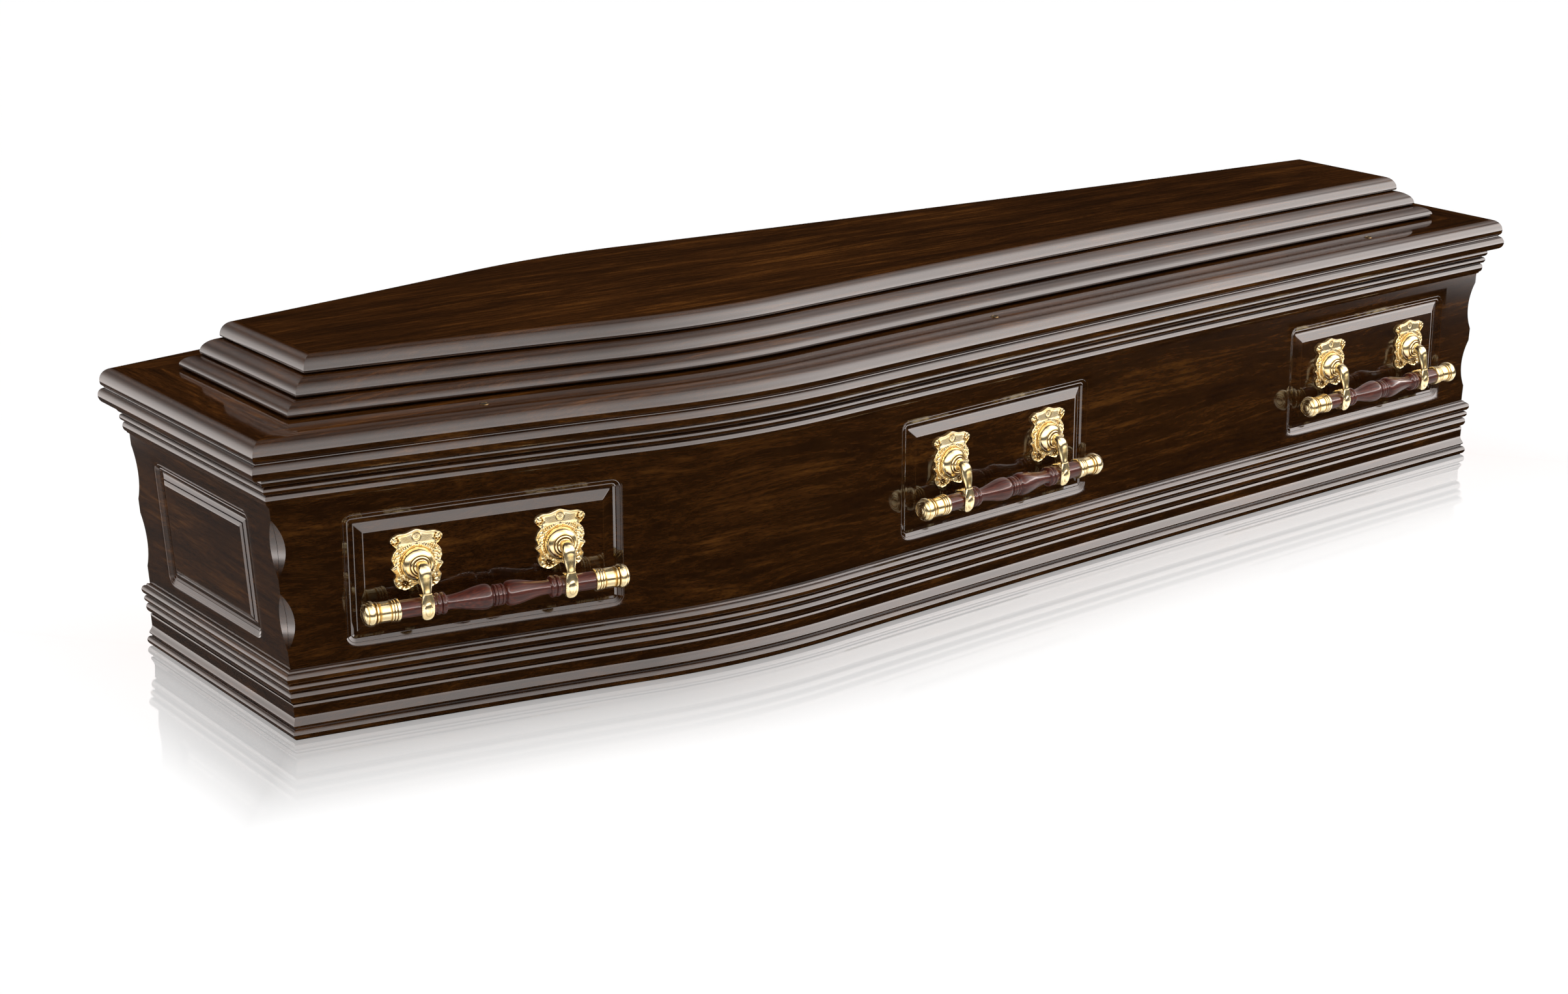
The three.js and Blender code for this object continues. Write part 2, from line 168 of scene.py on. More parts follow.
def pulled(start, pull, end, steps):
    """Points of a quadratic curve, without its last one."""
    t = np.linspace(0, 1, steps, endpoint=False)[:, None]
    return (1 - t) ** 2 * start + 2 * t * (1 - t) * pull + t ** 2 * end


head = np.array([-HALF_LENGTH, HEAD_HALF_WIDTH])
shoulder = np.array([SHOULDER_X, SHOULDER_HALF_WIDTH])
foot = np.array([HALF_LENGTH, FOOT_HALF_WIDTH])
shoulder_start = toward(shoulder, sag_point(head, HEAD_SAG), SHOULDER_ROUNDING)
shoulder_end = toward(shoulder, sag_point(foot, FOOT_SAG), SHOULDER_ROUNDING)
before = toward(head, sag_point(head, HEAD_SAG), -OVERRUN)
beyond = toward(foot, sag_point(foot, FOOT_SAG), -OVERRUN)
nose = np.concatenate([
    before[None],
    pulled(head, sag_point(head, HEAD_SAG), shoulder_start, 80),
    pulled(shoulder_start, shoulder, shoulder_end, 80),
    pulled(shoulder_end, sag_point(foot, FOOT_SAG), foot, 160),
    foot[None],
    beyond[None],
])
run = np.gradient(nose, axis=0)
run[1], run[-2] = run[2], run[-3]
run = run / np.linalg.norm(run, axis=1)[:, None]
inward = np.stack([run[:, 1], -run[:, 0]], axis=1)
stations = np.concatenate([
    np.linspace(0.0, 0.22, 14, endpoint=False),
    np.linspace(0.22, 0.38, 26, endpoint=False),
    np.linspace(0.38, 1.0, 32),
])


def end_inset(inset, z):
    """How far in from the ends of the nose line a leaning end stands, at a height."""
    return inset + max(0.0, LID_UNDERSIDE - z) * END_LEAN / LID_UNDERSIDE


def side_y(inset, x):
    """Half the width at x of the nose line moved inwards."""
    line = nose + inward * inset
    return np.interp(x, line[:, 0], line[:, 1])


def side_line(inset, reach):
    """The moved line between the two ends, as (x, half-width) at every station."""
    x = (2 * stations - 1) * (HALF_LENGTH - reach)
    return np.stack([x, side_y(inset, x)], axis=1)


def add_piece(name, points, faces, material, nodes, wear=None, crease=32.0):
    """One finished solid from points in millimetres; it rides the root and stands in for its CAD nodes."""
    mesh = bpy.data.meshes.new(name)
    mesh.from_pydata([tuple(p) for p in np.asarray(points) * MM], [], faces)
    # These values are edge wear on the wood, and painted shade in the hollows of the metal parts.
    if wear is not None:
        mesh.attributes.new("wear", "FLOAT", "POINT").data.foreach_set("value", np.asarray(wear, np.float32))
    shaping = bmesh.new()
    shaping.from_mesh(mesh)
    bmesh.ops.remove_doubles(shaping, verts=shaping.verts, dist=0.002 * MM)
    bmesh.ops.delete(shaping, geom=[v for v in shaping.verts if not v.link_faces], context="VERTS")
    bmesh.ops.recalc_face_normals(shaping, faces=shaping.faces)
    shaping.to_mesh(mesh)
    shaping.free()
    mesh.shade_smooth()
    mesh.set_sharp_from_angle(angle=math.radians(crease))
    mesh.materials.append(material)
    made = bpy.data.objects.new(f"{name}_finished", mesh)
    bpy.context.scene.collection.objects.link(made)
    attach(made, "root")
    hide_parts(*nodes)
    return made


def flat_board(name, inset, low, high, material):
    """A flat board in the shouldered plan with its upper and lower edges just eased."""
    ease = EASED_EDGE
    rings = []
    for z, extra in ((low, ease), (low + ease, 0.0), (high - ease, 0.0), (high, ease)):
        side = side_line(inset + extra, end_inset(inset + extra, z))
        for sign in (-1, 1):
            rings.append([(x, sign * y, z) for x, y in side])
    count = len(stations)
    points = [p for ring in rings for p in ring]
    faces = []
    for k in range(count - 1):
        for low_ring, high_ring in ((0, 2), (2, 4), (4, 6), (1, 3), (3, 5), (5, 7), (6, 7), (0, 1)):
            a, b = low_ring * count + k, high_ring * count + k
            faces.append((a, a + 1, b + 1, b))
    for k in (0, count - 1):
        faces.append([ring * count + k for ring in (0, 2, 4, 6, 7, 5, 3, 1)])
    return add_piece(name, points, faces, material, [name])


veneer_long = lacquered_veneer("lacquered_walnut_veneer_lengthwise", "X")
veneer_cross = lacquered_veneer("lacquered_walnut_veneer_crosswise", "Y")
flat_board("floor_board", FLOOR_INSET, FLOOR_UNDERSIDE, FLOOR_UNDERSIDE + BOARD, veneer_long)

# Walls
# Two long sides that swell to the shoulders and two leaning ends, 18 mm thick and mitred at the corners.
# Each routed panel has two ledges down to a flat channel and a bevel up to its field, and two scallops are
# cut across each corner.
WALL_INSET = 22.5
WALL_TOP = 308.7
PANEL_LENGTH, END_PANEL_LENGTH = 330.0, 244.0
PANEL_HEIGHT = 154.0
PANEL_MIDDLE = 175.8
PANEL_CORNER = 12.0
PANEL_DEPTH = 4.3
PANEL_MARGIN = 8.0
PANEL_PLACES = {"head": -731.0, "middle": 4.0, "foot": 736.0}
UPPER_LEDGE = (1.9, 2.7, 1.1)
LOWER_LEDGE = (6.4, 7.7, 2.95)
CHANNEL_START, BEVEL_START, BEVEL_END = 10.1, 14.2, 23.6
QUIRK, QUIRK_WIDTH, QUIRK_DEPTH = 18.4, 1.4, 0.8
WALL_CREASE = 16.0
LONG_STEPS, HIGH_STEPS, CORNER_STEPS = 36, 16, 5
PLAIN_STEP = 15.0
SCALLOP_LENGTH, SCALLOP_DEPTH = 68.0, 7.0
SCALLOP_MIDDLES = (134.5, 220.5)
SCALLOP_WIDTH = 120.0


def corner_arc(middle, radius, first, steps):
    """Points of an eighth of a circle, clockwise, without its last one."""
    turn = np.radians(first - 45.0 * np.arange(steps) / steps)
    return np.stack([middle[0] + radius * np.cos(turn), middle[1] + radius * np.sin(turn)], axis=1)


def panel_loop(half_long, half_high, radius):
    """Points round an oblong with round corners, clockwise from the middle of its upper left corner."""
    x, y = half_long - radius, half_high - radius
    middles = [(-x, y), (x, y), (x, -y), (-x, -y)]
    parts = []
    for side, steps in enumerate((LONG_STEPS, HIGH_STEPS, LONG_STEPS, HIGH_STEPS)):
        start, end = np.array(middles[side]), np.array(middles[(side + 1) % 4])
        first = 135.0 - 90.0 * side
        if radius > 0:
            facing = math.radians(first - 45)
            out = radius * np.array([math.cos(facing), math.sin(facing)])
            t = np.linspace(0, 1, steps - 2 * CORNER_STEPS, endpoint=False)[:, None]
            parts.append(corner_arc(start, radius, first, CORNER_STEPS))
            parts.append(start + out + (end - start) * t)
            parts.append(corner_arc(end, radius, first - 45, CORNER_STEPS))
        else:
            parts.append(start + (end - start) * np.linspace(0, 1, steps, endpoint=False)[:, None])
    return np.concatenate(parts)


def field_grid(loop):
    """The oblong inside a loop, filled with rows and columns that meet the loop's own points."""
    top = loop[:LONG_STEPS + 1]
    right = loop[LONG_STEPS:LONG_STEPS + HIGH_STEPS + 1]
    bottom = loop[LONG_STEPS + HIGH_STEPS:2 * LONG_STEPS + HIGH_STEPS + 1][::-1]
    left = np.concatenate([loop[2 * LONG_STEPS + HIGH_STEPS:], loop[:1]])[::-1]
    s = np.linspace(0, 1, LONG_STEPS + 1)[None, :, None]
    t = np.linspace(0, 1, HIGH_STEPS + 1)[:, None, None]
    blend = (1 - t) * top[None] + t * bottom[None] + (1 - s) * left[:, None] + s * right[:, None]
    corners = ((1 - s) * (1 - t) * top[0] + s * (1 - t) * top[-1]
               + (1 - s) * t * bottom[0] + s * t * bottom[-1])
    return blend - corners


def panel_rings(quirk):
    """(inset, depth, corner radius, wear) of each line round a panel, from its outer arris to its field. Two
    narrow ledges break its edge, and quirk cuts a fine groove of that depth along the field's bevel."""
    def bevel(inset):
        return PANEL_DEPTH * (BEVEL_END - inset) / (BEVEL_END - BEVEL_START)

    lines = [(-0.2, 0.0, 0.0), (0.0, 0.04, 0.6), (0.3, 0.18, 1.0)]
    for start, end, depth in (UPPER_LEDGE, LOWER_LEDGE):
        lines += [(start, depth, 0.0), (start + 0.3, depth + 0.05, 0.0), (end, depth - 0.2, 0.4)]
    lines += [(CHANNEL_START, PANEL_DEPTH, 0.0), (BEVEL_START - 0.9, PANEL_DEPTH, 0.0),
              (BEVEL_START - 0.2, PANEL_DEPTH - 0.08, 0.0),
              (BEVEL_START + 0.8, bevel(BEVEL_START + 0.8), 0.0)]
    if quirk:
        lines += [(QUIRK, bevel(QUIRK), 0.0), (QUIRK + 0.1, bevel(QUIRK) + quirk, 0.0),
                  (QUIRK + QUIRK_WIDTH - 0.1, bevel(QUIRK) + quirk, 0.0),
                  (QUIRK + QUIRK_WIDTH, bevel(QUIRK + QUIRK_WIDTH), 0.0)]
    lines += [(BEVEL_END - 1.2, bevel(BEVEL_END - 1.2), 0.3), (BEVEL_END - 0.3, 0.26, 1.0),
              (BEVEL_END + 0.3, 0.08, 0.6), (BEVEL_END + 0.9, 0.0, 0.0)]
    return [(inset, depth, max(0.7, PANEL_CORNER - inset), wear) for inset, depth, wear in lines]


def panelled_wall(name, place, low_end, high_end, panels, half_long, quirk, material):
    """A wall solid: a plain face of rows and columns with routed panels let in, a plain back, and mitred
    ends. place(along, z, depth) gives points, and the two ends give the mitre's place at z and depth."""
    half_high = PANEL_HEIGHT / 2 + PANEL_MARGIN
    block = half_long + PANEL_MARGIN
    panel_rows = PANEL_MIDDLE + np.linspace(-half_high, half_high, HIGH_STEPS + 1)
    rows = np.concatenate([[0.0], panel_rows, [WALL_TOP]])
    fixed = []
    for index, middle in enumerate(panels):
        if index:
            start = panels[index - 1] + block
            steps = max(2, round((middle - block - start) / PLAIN_STEP))
            fixed.append(np.linspace(start, middle - block, steps + 1)[1:-1])
        fixed.append(middle + np.linspace(-block, block, LONG_STEPS + 1))
    fixed = np.concatenate(fixed)
    end_steps = np.linspace(0, 1, 4, endpoint=False)
    columns = len(fixed) + 2 * len(end_steps)
    points, faces, wear = [], [], []

    def across(z, depth):
        low, high = low_end(z, depth), high_end(z, depth)
        return np.concatenate([low + end_steps * (fixed[0] - low), fixed,
                               (high + end_steps * (fixed[-1] - high))[::-1]])

    def grid(rows_of_points, row_wear=None, skip=lambda column, row: False):
        start = len(points)
        width = len(rows_of_points[0])
        for number, row in enumerate(rows_of_points):
            points.extend(row)
            wear.extend([row_wear[number] if row_wear else 0.0] * width)
        for row in range(len(rows_of_points) - 1):
            for column in range(width - 1):
                if not skip(column, row):
                    a = start + row * width + column
                    faces.append((a, a + 1, a + 1 + width, a + width))
        return start

    def inside_panel(column, row):
        middle = (across_middle[column] + across_middle[column + 1]) / 2
        return 1 <= row <= HIGH_STEPS and any(abs(middle - panel) < block for panel in panels)

    across_middle = across(PANEL_MIDDLE, 0.0)
    face = grid([place(across(z, 0.0), z, 0.0) for z in rows], skip=inside_panel)
    back = grid([place(across(z, BOARD), z, BOARD) for z in (0.0, WALL_TOP)])
    top = face + (len(rows) - 1) * columns
    for column in range(columns - 1):
        for front, rear in ((face, back), (top, back + columns)):
            faces.append((front + column, front + column + 1, rear + column + 1, rear + column))
    for column in (0, columns - 1):
        edge = [face + row * columns + column for row in range(len(rows))]
        faces.append(edge + [back + columns + column, back + column])
    for panel in panels:
        outer = panel_loop(block, half_high, 0.0)
        loops = [place(panel + outer[:, 0], PANEL_MIDDLE + outer[:, 1], 0.0)]
        loop_wear = [0.0]
        for inset, depth, radius, rub in panel_rings(quirk):
            loop = panel_loop(half_long - inset, PANEL_HEIGHT / 2 - inset, radius)
            loops.append(place(panel + loop[:, 0], PANEL_MIDDLE + loop[:, 1], depth))
            loop_wear.append(rub)
        grid([np.concatenate([line, line[:1]]) for line in loops], loop_wear)
        field = field_grid(loop)
        grid([place(panel + row[:, 0], PANEL_MIDDLE + row[:, 1], 0.0) for row in field])
    return add_piece(name, points, faces, material, [name], wear, WALL_CREASE)


def cut_scallops(wall):
    """Cuts two shallow hollows across every upright corner of the box out of a wall, one height at a time."""
    radius = ((SCALLOP_LENGTH / 2) ** 2 + SCALLOP_DEPTH ** 2) / (2 * SCALLOP_DEPTH)
    for z in SCALLOP_MIDDLES:
        shaping = bmesh.new()
        for end in (-1, 1):
            for side in (-1, 1):
                reach = HALF_LENGTH - end_inset(WALL_INSET, z)
                corner = Vector((end * reach, side * side_y(WALL_INSET, end * reach), z))
                out = Vector((end, side, 0)).normalized()
                turn = out.cross(Vector((0, 0, 1))).to_track_quat("Z", "Y").to_matrix().to_4x4()
                spot = Matrix.Translation((corner + out * (radius - SCALLOP_DEPTH)) * MM)
                bmesh.ops.create_cone(shaping, cap_ends=True, segments=192, radius1=radius * MM,
                                      radius2=radius * MM, depth=SCALLOP_WIDTH * MM, matrix=spot @ turn)
        cutter_mesh = bpy.data.meshes.new("scallop_cutter")
        shaping.to_mesh(cutter_mesh)
        shaping.free()
        cutter_mesh.shade_smooth()
        cutter = bpy.data.objects.new("scallop_cutter", cutter_mesh)
        bpy.context.scene.collection.objects.link(cutter)
        cut = wall.modifiers.new("scallops", "BOOLEAN")
        cut.object = cutter
        cut.operation = "DIFFERENCE"
        cut.solver = "EXACT"
        ready = wall.evaluated_get(bpy.context.evaluated_depsgraph_get())
        shaped = bpy.data.meshes.new_from_object(ready)
        wall.modifiers.clear()
        plain = wall.data
        wall.data = shaped
        shaped.name = wall.name
        bpy.data.meshes.remove(plain)
        bpy.data.objects.remove(cutter)
        bpy.data.meshes.remove(cutter_mesh)
    wall.data.set_sharp_from_angle(angle=math.radians(WALL_CREASE))


def side_place(sign):
    """Places points on one side wall, by x along it, height and depth below its face."""
    line = nose + inward * WALL_INSET

    def place(x, z, depth):
        x = np.asarray(x, float)
        shift = [np.interp(x, line[:, 0], inward[:, axis]) * depth for axis in (0, 1)]
        y = np.interp(x, line[:, 0], line[:, 1]) + shift[1]
        return np.stack([x + shift[0], sign * y, np.broadcast_to(z, x.shape)], axis=1)
    return place


def end_place(end):
    """Places points on one leaning end wall, by y along it, height and depth below its face."""
    def place(y, z, depth):
        y = np.asarray(y, float)
        z = np.broadcast_to(z, y.shape)
        lean = (LID_UNDERSIDE - z) * END_LEAN / LID_UNDERSIDE
        return np.stack([end * (HALF_LENGTH - WALL_INSET - lean - depth), y, z], axis=1)
    return place


def mitre_x(z, depth):
    """Where a side wall's face, or a plane behind it, meets the leaning ends."""
    shift = np.interp(HALF_LENGTH, nose[:, 0], inward[:, 0]) * depth
    return HALF_LENGTH - end_inset(WALL_INSET + depth, z) - shift


def mitre_y(end, z, depth):
    """Where an end wall's face, or a plane behind it, meets the sides."""
    inset = WALL_INSET + depth
    return side_y(inset, end * (HALF_LENGTH - end_inset(inset, z)))


for side, sign in (("right", -1), ("left", 1)):
    wall = panelled_wall(f"side_board_{side}", side_place(sign), lambda z, depth: -mitre_x(z, depth), mitre_x,
                         list(PANEL_PLACES.values()), PANEL_LENGTH / 2, 0.0, veneer_long)
    cut_scallops(wall)
for name, end in (("head", -1), ("foot", 1)):
    wall = panelled_wall(f"{name}_board", end_place(end), lambda z, depth, end=end: -mitre_y(end, z, depth),
                         lambda z, depth, end=end: mitre_y(end, z, depth), [0.0], END_PANEL_LENGTH / 2,
                         QUIRK_DEPTH, veneer_cross)
    cut_scallops(wall)

# Plinth
# A skirting of solid wood, mitred round the foot of the box and glued to it. A spindle-moulded face runs
# straight down, flares to a lip, and stands over a round bottom bead.
PLINTH_TOP = 41.5
MOULDING_BACK = 22.2


def swell(middle, reach, first, last, steps=14):
    """(inset, z) points of an elliptical arc. 0 degrees is straight out from the box and 90 straight up."""
    turn = np.radians(np.linspace(first, last, steps))
    return [(middle[0] - reach[0] * math.cos(a), middle[1] + reach[1] * math.sin(a)) for a in turn]


def bead(root, crest, top, bottom):
    """A half-round bead that stands out from its root to its crest."""
    return swell((root, (top + bottom) / 2), (root - crest, (top - bottom) / 2), 90, -90)


def crest_wear(profile):
    """How much each point of a section stands proud of its neighbours, from 0 to 1."""
    line = np.array(profile)
    before, after = np.roll(line, 2, axis=0), np.roll(line, -2, axis=0)
    first, second = line - before, after - line
    turn = first[:, 0] * second[:, 1] - first[:, 1] * second[:, 0]
    size = np.linalg.norm(first, axis=1) * np.linalg.norm(second, axis=1) + 1e-6
    return np.clip(turn / size * 0.7, 0, 1)


def mitred_moulding(name, profile, crease=32.0):
    """Four lengths of one section, each its own closed solid, mitred round the box at the four corners."""
    wear = crest_wear(profile)
    size = len(profile)
    after = [(j + 1) % size for j in range(size)]
    for place, sign in (("right", -1), ("left", 1)):
        lines = [side_line(inset, end_inset(inset, z)) for inset, z in profile]
        points = [(lines[j][k][0], sign * lines[j][k][1], profile[j][1])
                  for k in range(len(stations)) for j in range(size)]
        faces = [(k * size + j, (k + 1) * size + j, (k + 1) * size + after[j], k * size + after[j])
                 for k in range(len(stations) - 1) for j in range(size)]
        faces += [list(range(size)), list(range((len(stations) - 1) * size, len(stations) * size))]
        add_piece(f"{name}_{place}", points, faces, veneer_long, [f"{name}_{place}"],
                  np.tile(wear, len(stations)), crease)
    for place, end in (("head", -1), ("foot", 1)):
        points = []
        for half in (-1, 1):
            for inset, z in profile:
                x = end * (HALF_LENGTH - end_inset(inset, z))
                points.append((x, half * side_y(inset, x), z))
        faces = [(j, size + j, size + after[j], after[j]) for j in range(size)]
        faces += [list(range(size)), list(range(size, 2 * size))]
        add_piece(f"{name}_{place}", points, faces, veneer_cross, [f"{name}_{place}"],
                  np.tile(wear, 2), crease)


mitred_moulding("plinth", [
    (MOULDING_BACK, PLINTH_TOP), (19.9, PLINTH_TOP), (19.5, 41.2), (19.3, 40.6), (19.3, 36.0), (19.3, 31.0),
    (19.3, 27.0), (19.1, 25.0), (18.6, 23.0), (17.7, 21.2), (16.8, 19.6), (16.1, 18.2), (15.75, 17.2),
    (15.7, 16.4), (15.9, 15.6),
    (17.6, 14.6), (18.0, 13.0), *bead(18.0, 12.9, 12.4, 0.6), (17.0, 0.0), (MOULDING_BACK, 0.0)])

# Lower moulding
# Three reeds run in one strip of solid wood, mitred round the box above the plinth and glued to the walls.
# Each reed stands back a little from the one above, with a sharp quirk between them.
LOWER_TOP = 81.0
mitred_moulding("lower_moulding", [
    (MOULDING_BACK, LOWER_TOP), (20.6, LOWER_TOP), (19.4, 80.4), (19.0, 79.0), *bead(18.6, 13.8, 78.6, 66.6),
    (19.0, 66.2), *bead(19.4, 15.2, 65.8, 56.6), (19.8, 56.2), *bead(20.0, 16.1, 55.8, 43.6), (20.0, 42.6),
    (MOULDING_BACK, 41.8)])

# Upper moulding
# The same kind of three-reed strip, turned so that the boldest reed lies just under the lid's rim. It is
# mitred round the top of the box and glued to the walls.
UPPER_FOOT = 272.0
mitred_moulding("upper_moulding", [
    (MOULDING_BACK, WALL_TOP), (18.4, WALL_TOP), *bead(18.0, 13.4, 308.2, 298.0), (18.8, 297.5),
    *bead(19.2, 15.0, 297.0, 288.0), (19.6, 287.5), *bead(20.0, 17.0, 287.0, 275.0), (20.2, 273.6),
    (21.2, 272.6), (MOULDING_BACK, UPPER_FOOT)])

# Lid rim
# The lid's thick border, a frame of solid wood mitred at its corners, that overhangs the walls all round.
# Its edge is worked to a large round nose over a quirk and a smaller round that drips over the moulding.
RIM_TOP = 352.5
RIM_THICKNESS = 18.0
RIM_BACK = 112.0
REBATE_INSET = 48.0
mitred_moulding("lid_rim", [
    (RIM_BACK, RIM_TOP), (81.0, RIM_TOP), (60.0, RIM_TOP), (30.0, RIM_TOP),
    *swell((14.0, 337.0), (14.0, 15.5), 90, 0, 20), (0.2, 334.4), (0.7, 332.4), (1.6, 331.2), (3.2, 330.0),
    (3.9, 328.9), *swell((4.6, 318.8), (7.1, 9.4), 84, -90, 18), (5.6, LID_UNDERSIDE),
    (REBATE_INSET, LID_UNDERSIDE), (REBATE_INSET, RIM_TOP - RIM_THICKNESS),
    (RIM_BACK, RIM_TOP - RIM_THICKNESS)])

# Lid step
# Three large rounds, one over the other, that raise the lid from its rim to the top board. The strip is
# worked from solid wood, mitred at the corners, hollow behind, and glued on the rim's flat.
LID_TOP = 412.0
mitred_moulding("lid_step", [
    (129.0, LID_TOP), (128.4, LID_TOP), *swell((128.0, 395.0), (15.3, 17.0), 88, 0, 20), (113.0, 393.8),
    (114.0, 393.0), (119.2, 392.0), *swell((119.4, 374.0), (25.9, 17.6), 88, 0, 20), (93.9, 372.6),
    (95.0, 371.6), (99.2, 370.6), *swell((99.4, 358.0), (25.4, 12.2), 88, 0, 18), (74.3, 356.4),
    (76.0, 354.6), (80.5, 352.8), (108.0, 352.8), (108.0, 370.0), (140.0, 384.0), (140.0, 394.0),
    (129.0, 394.0)])

# Lid top board
# One flat veneered board that closes the raised lid. It lies in the rebate of the step moulding with its
# face flush, and its joint shows as a hair line round the flat.
TOP_INSET = 129.15
TOP_UNDERSIDE = 394.3
flat_board("lid_top_board", TOP_INSET, TOP_UNDERSIDE, LID_TOP, veneer_long)

# Lid screw bushes
# Small brass eyelets pressed into the rim's flat, three down each side, that take the lid's screws. Each is a
# turned ring round a shallow floor painted near black as the shade of an open hole.
BUSH_PLACES = (-715.0, 16.0, 750.0)
BUSH_INSET = 45.0
BUSH_RADIUS, BUSH_HOLE = 5.6, 3.4
LATHE_STEPS = 48


def ring_faces(rings, count):
    """The four-sided faces between closed rings of so many points each, one ring after the other."""
    after = [(k + 1) % count for k in range(count)]
    return [(r * count + k, r * count + after[k], (r + 1) * count + after[k], (r + 1) * count + k)
            for r in range(rings - 1) for k in range(count)]


def lathe(profile, steps=LATHE_STEPS):
    """Points and faces of a solid turned round the Z axis, from (radius, height) points; closed at both ends
    where the first and last radius are nought."""
    turn = np.linspace(0, 2 * math.pi, steps, endpoint=False)
    points = [(radius * math.cos(a), radius * math.sin(a), height)
              for radius, height in profile for a in turn]
    faces = [face for face in ring_faces(len(profile), steps)
             if profile[face[0] // steps][0] or profile[face[2] // steps][0]]
    return np.array(points), faces


def brushed_brass(name, bright, dull):
    """Plain brass left from the lathe: fine rings that scatter the light, dulled here and there."""
    made, tree, output = new_material(name)
    place = add_node(tree, "TexCoord", {}).outputs["Object"]
    patch = add_node(tree, "TexNoise", {"Vector": place, "Scale": 1 / (MM * 9.0), "Detail": 4.0})
    tone = add_node(tree, "ValToRGB", {"Fac": patch.outputs["Fac"]}, stops=((0.35, dull), (0.62, bright)))
    rough = add_node(tree, "MapRange", {"Value": patch.outputs["Fac"], "From Min": 0.3, "From Max": 0.7,
                                        "To Min": 0.42, "To Max": 0.24})
    shader = add_node(tree, "BsdfPrincipled", {"Base Color": tone.outputs[0], "Metallic": 1.0,
                                               "Roughness": rough.outputs[0]})
    tree.links.new(shader.outputs[0], output.inputs[0])
    return made


bush_brass = brushed_brass("turned_brass_eyelet", "#8f7a58", "#4a3520")
bush_profile = [(0.0, 0.15), (BUSH_HOLE, 0.15), (BUSH_HOLE, 0.5), (BUSH_HOLE + 0.4, 0.85),
                (BUSH_HOLE + 1.1, 1.0), (BUSH_RADIUS - 0.7, 0.85), (BUSH_RADIUS - 0.2, 0.5),
                (BUSH_RADIUS, 0.05), (0.0, 0.05)]
# Painted shade: a near-black material stands in for the shade inside the eyelets' holes and the screws' cross
# recesses, mottled a little by noise.
painted_hole_shade, hole_tree, hole_output = new_material("shadowed_screw_hole")
hole_shade_mottle = add_node(hole_tree, "TexNoise", {"Scale": 1 / (MM * 2.0), "Detail": 3.0})
hole_tone = add_node(hole_tree, "ValToRGB", {"Fac": hole_shade_mottle.outputs["Fac"]},
                     stops=((0.35, "#050302"), (0.7, "#160d06")))
hole_shader = add_node(hole_tree, "BsdfPrincipled", {"Base Color": hole_tone.outputs[0], "Roughness": 0.9})
hole_tree.links.new(hole_shader.outputs[0], hole_output.inputs[0])
for side, sign in (("right", -1), ("left", 1)):
    for number, x in enumerate(BUSH_PLACES, start=1):
        points, faces = lathe(bush_profile)
        spot = np.array([x, sign * side_y(BUSH_INSET, x), RIM_TOP])
        bush = add_piece(f"lid_bush_{side}_{number}", points + spot, faces, bush_brass, [])
        bush.data.materials.append(painted_hole_shade)
        # The eyelet's floor inside the ring gets the painted shade.
        for face in bush.data.polygons:
            inside = (face.center - Vector(spot * MM)).to_2d().length < (BUSH_HOLE - 0.2) * MM
            face.material_index = 1 if inside and face.normal.z > 0.9 else 0

# Handle brackets
# Each handle hangs on two gilt zinc castings. One casting is a leafy plate with scrolled ears and shell
# corners, a domed boss, and a swan-neck arm whose beaded tongue and eye clasp the bar.
HANDLE_SHIFT = 4.0
BRACKET_SPACING = 172.0
BOSS_HEIGHT = 185.0
BAR_DROP, BAR_STANDOFF, BAR_RADIUS = 43.5, 24.0, 10.5
HALF_OUTLINE = [(0, 40), (7, 38), (13, 36.3), (22, 36), (29, 32.5), (30.5, 28), (26, 22.5), (23.8, 20),
                (28.3, 13.5), (29.5, 6.5), (27.5, 1), (30.5, -3.4), (25.5, -10.5), (28, -16.5), (25.5, -24.5),
                (19.5, -28.5), (14, -29.5), (5, -26), (0, -24)]
EAR, SHELL, TOP_SCREW = (25.2, 29.2), (14.6, -21.5), (0.0, 32.5)
PLATE_RINGS = 34
PLATE_BACK, PLATE_ARRIS, PLATE_HEIGHT = 0.2, 1.0, 2.0
PLATE_CROWN, EDGE_BEAD, POLISHED_RISE, POLISHED_FROM = 1.1, 0.8, 0.5, 20.0
EAR_EYE, EAR_CURL, EAR_LOBES = 2.4, 3.6, 6
SHELL_CUP, SHELL_FAN, SHELL_RIBS = 3.9, 7.4, 9
SPUR, SPUR_HALF, SPUR_TILT, SPUR_RISE = (27.0, -2.8), 1.5, 0.4, 0.6
SEAT_RADIUS, SEAT_DEPTH = 4.7, 0.45
STIPPLE, STIPPLE_RISE = 2.1, 0.34
LEAF_LOBES = ((26.3, 17.2), (28.0, 11.6), (28.2, 6.0), (26.8, 0.8), (21.4, 19.6), (22.9, 13.8), (23.1, 8.0),
              (22.4, 2.4))
LOBE_RISE, LOBE_SIZE = 0.85, 2.1
RING_RADIUS, RING_RISE, RING_WIDTH = 22.6, 0.5, 0.9
BOSS_ROOT, BOSS_STEPS = 18.5, 56
ARM_SIDES = 28
CLIP_MIDDLE, CLIP_FACE = 42.5, 37.1
CLIP_OVAL = (4.6, 8.6, 2.4)
CLIP_BEADS, CLIP_BEAD_RADIUS, CLIP_BEAD_RING = 26, 0.85, (6.6, 11.0)
CAST_CREASE = 50.0


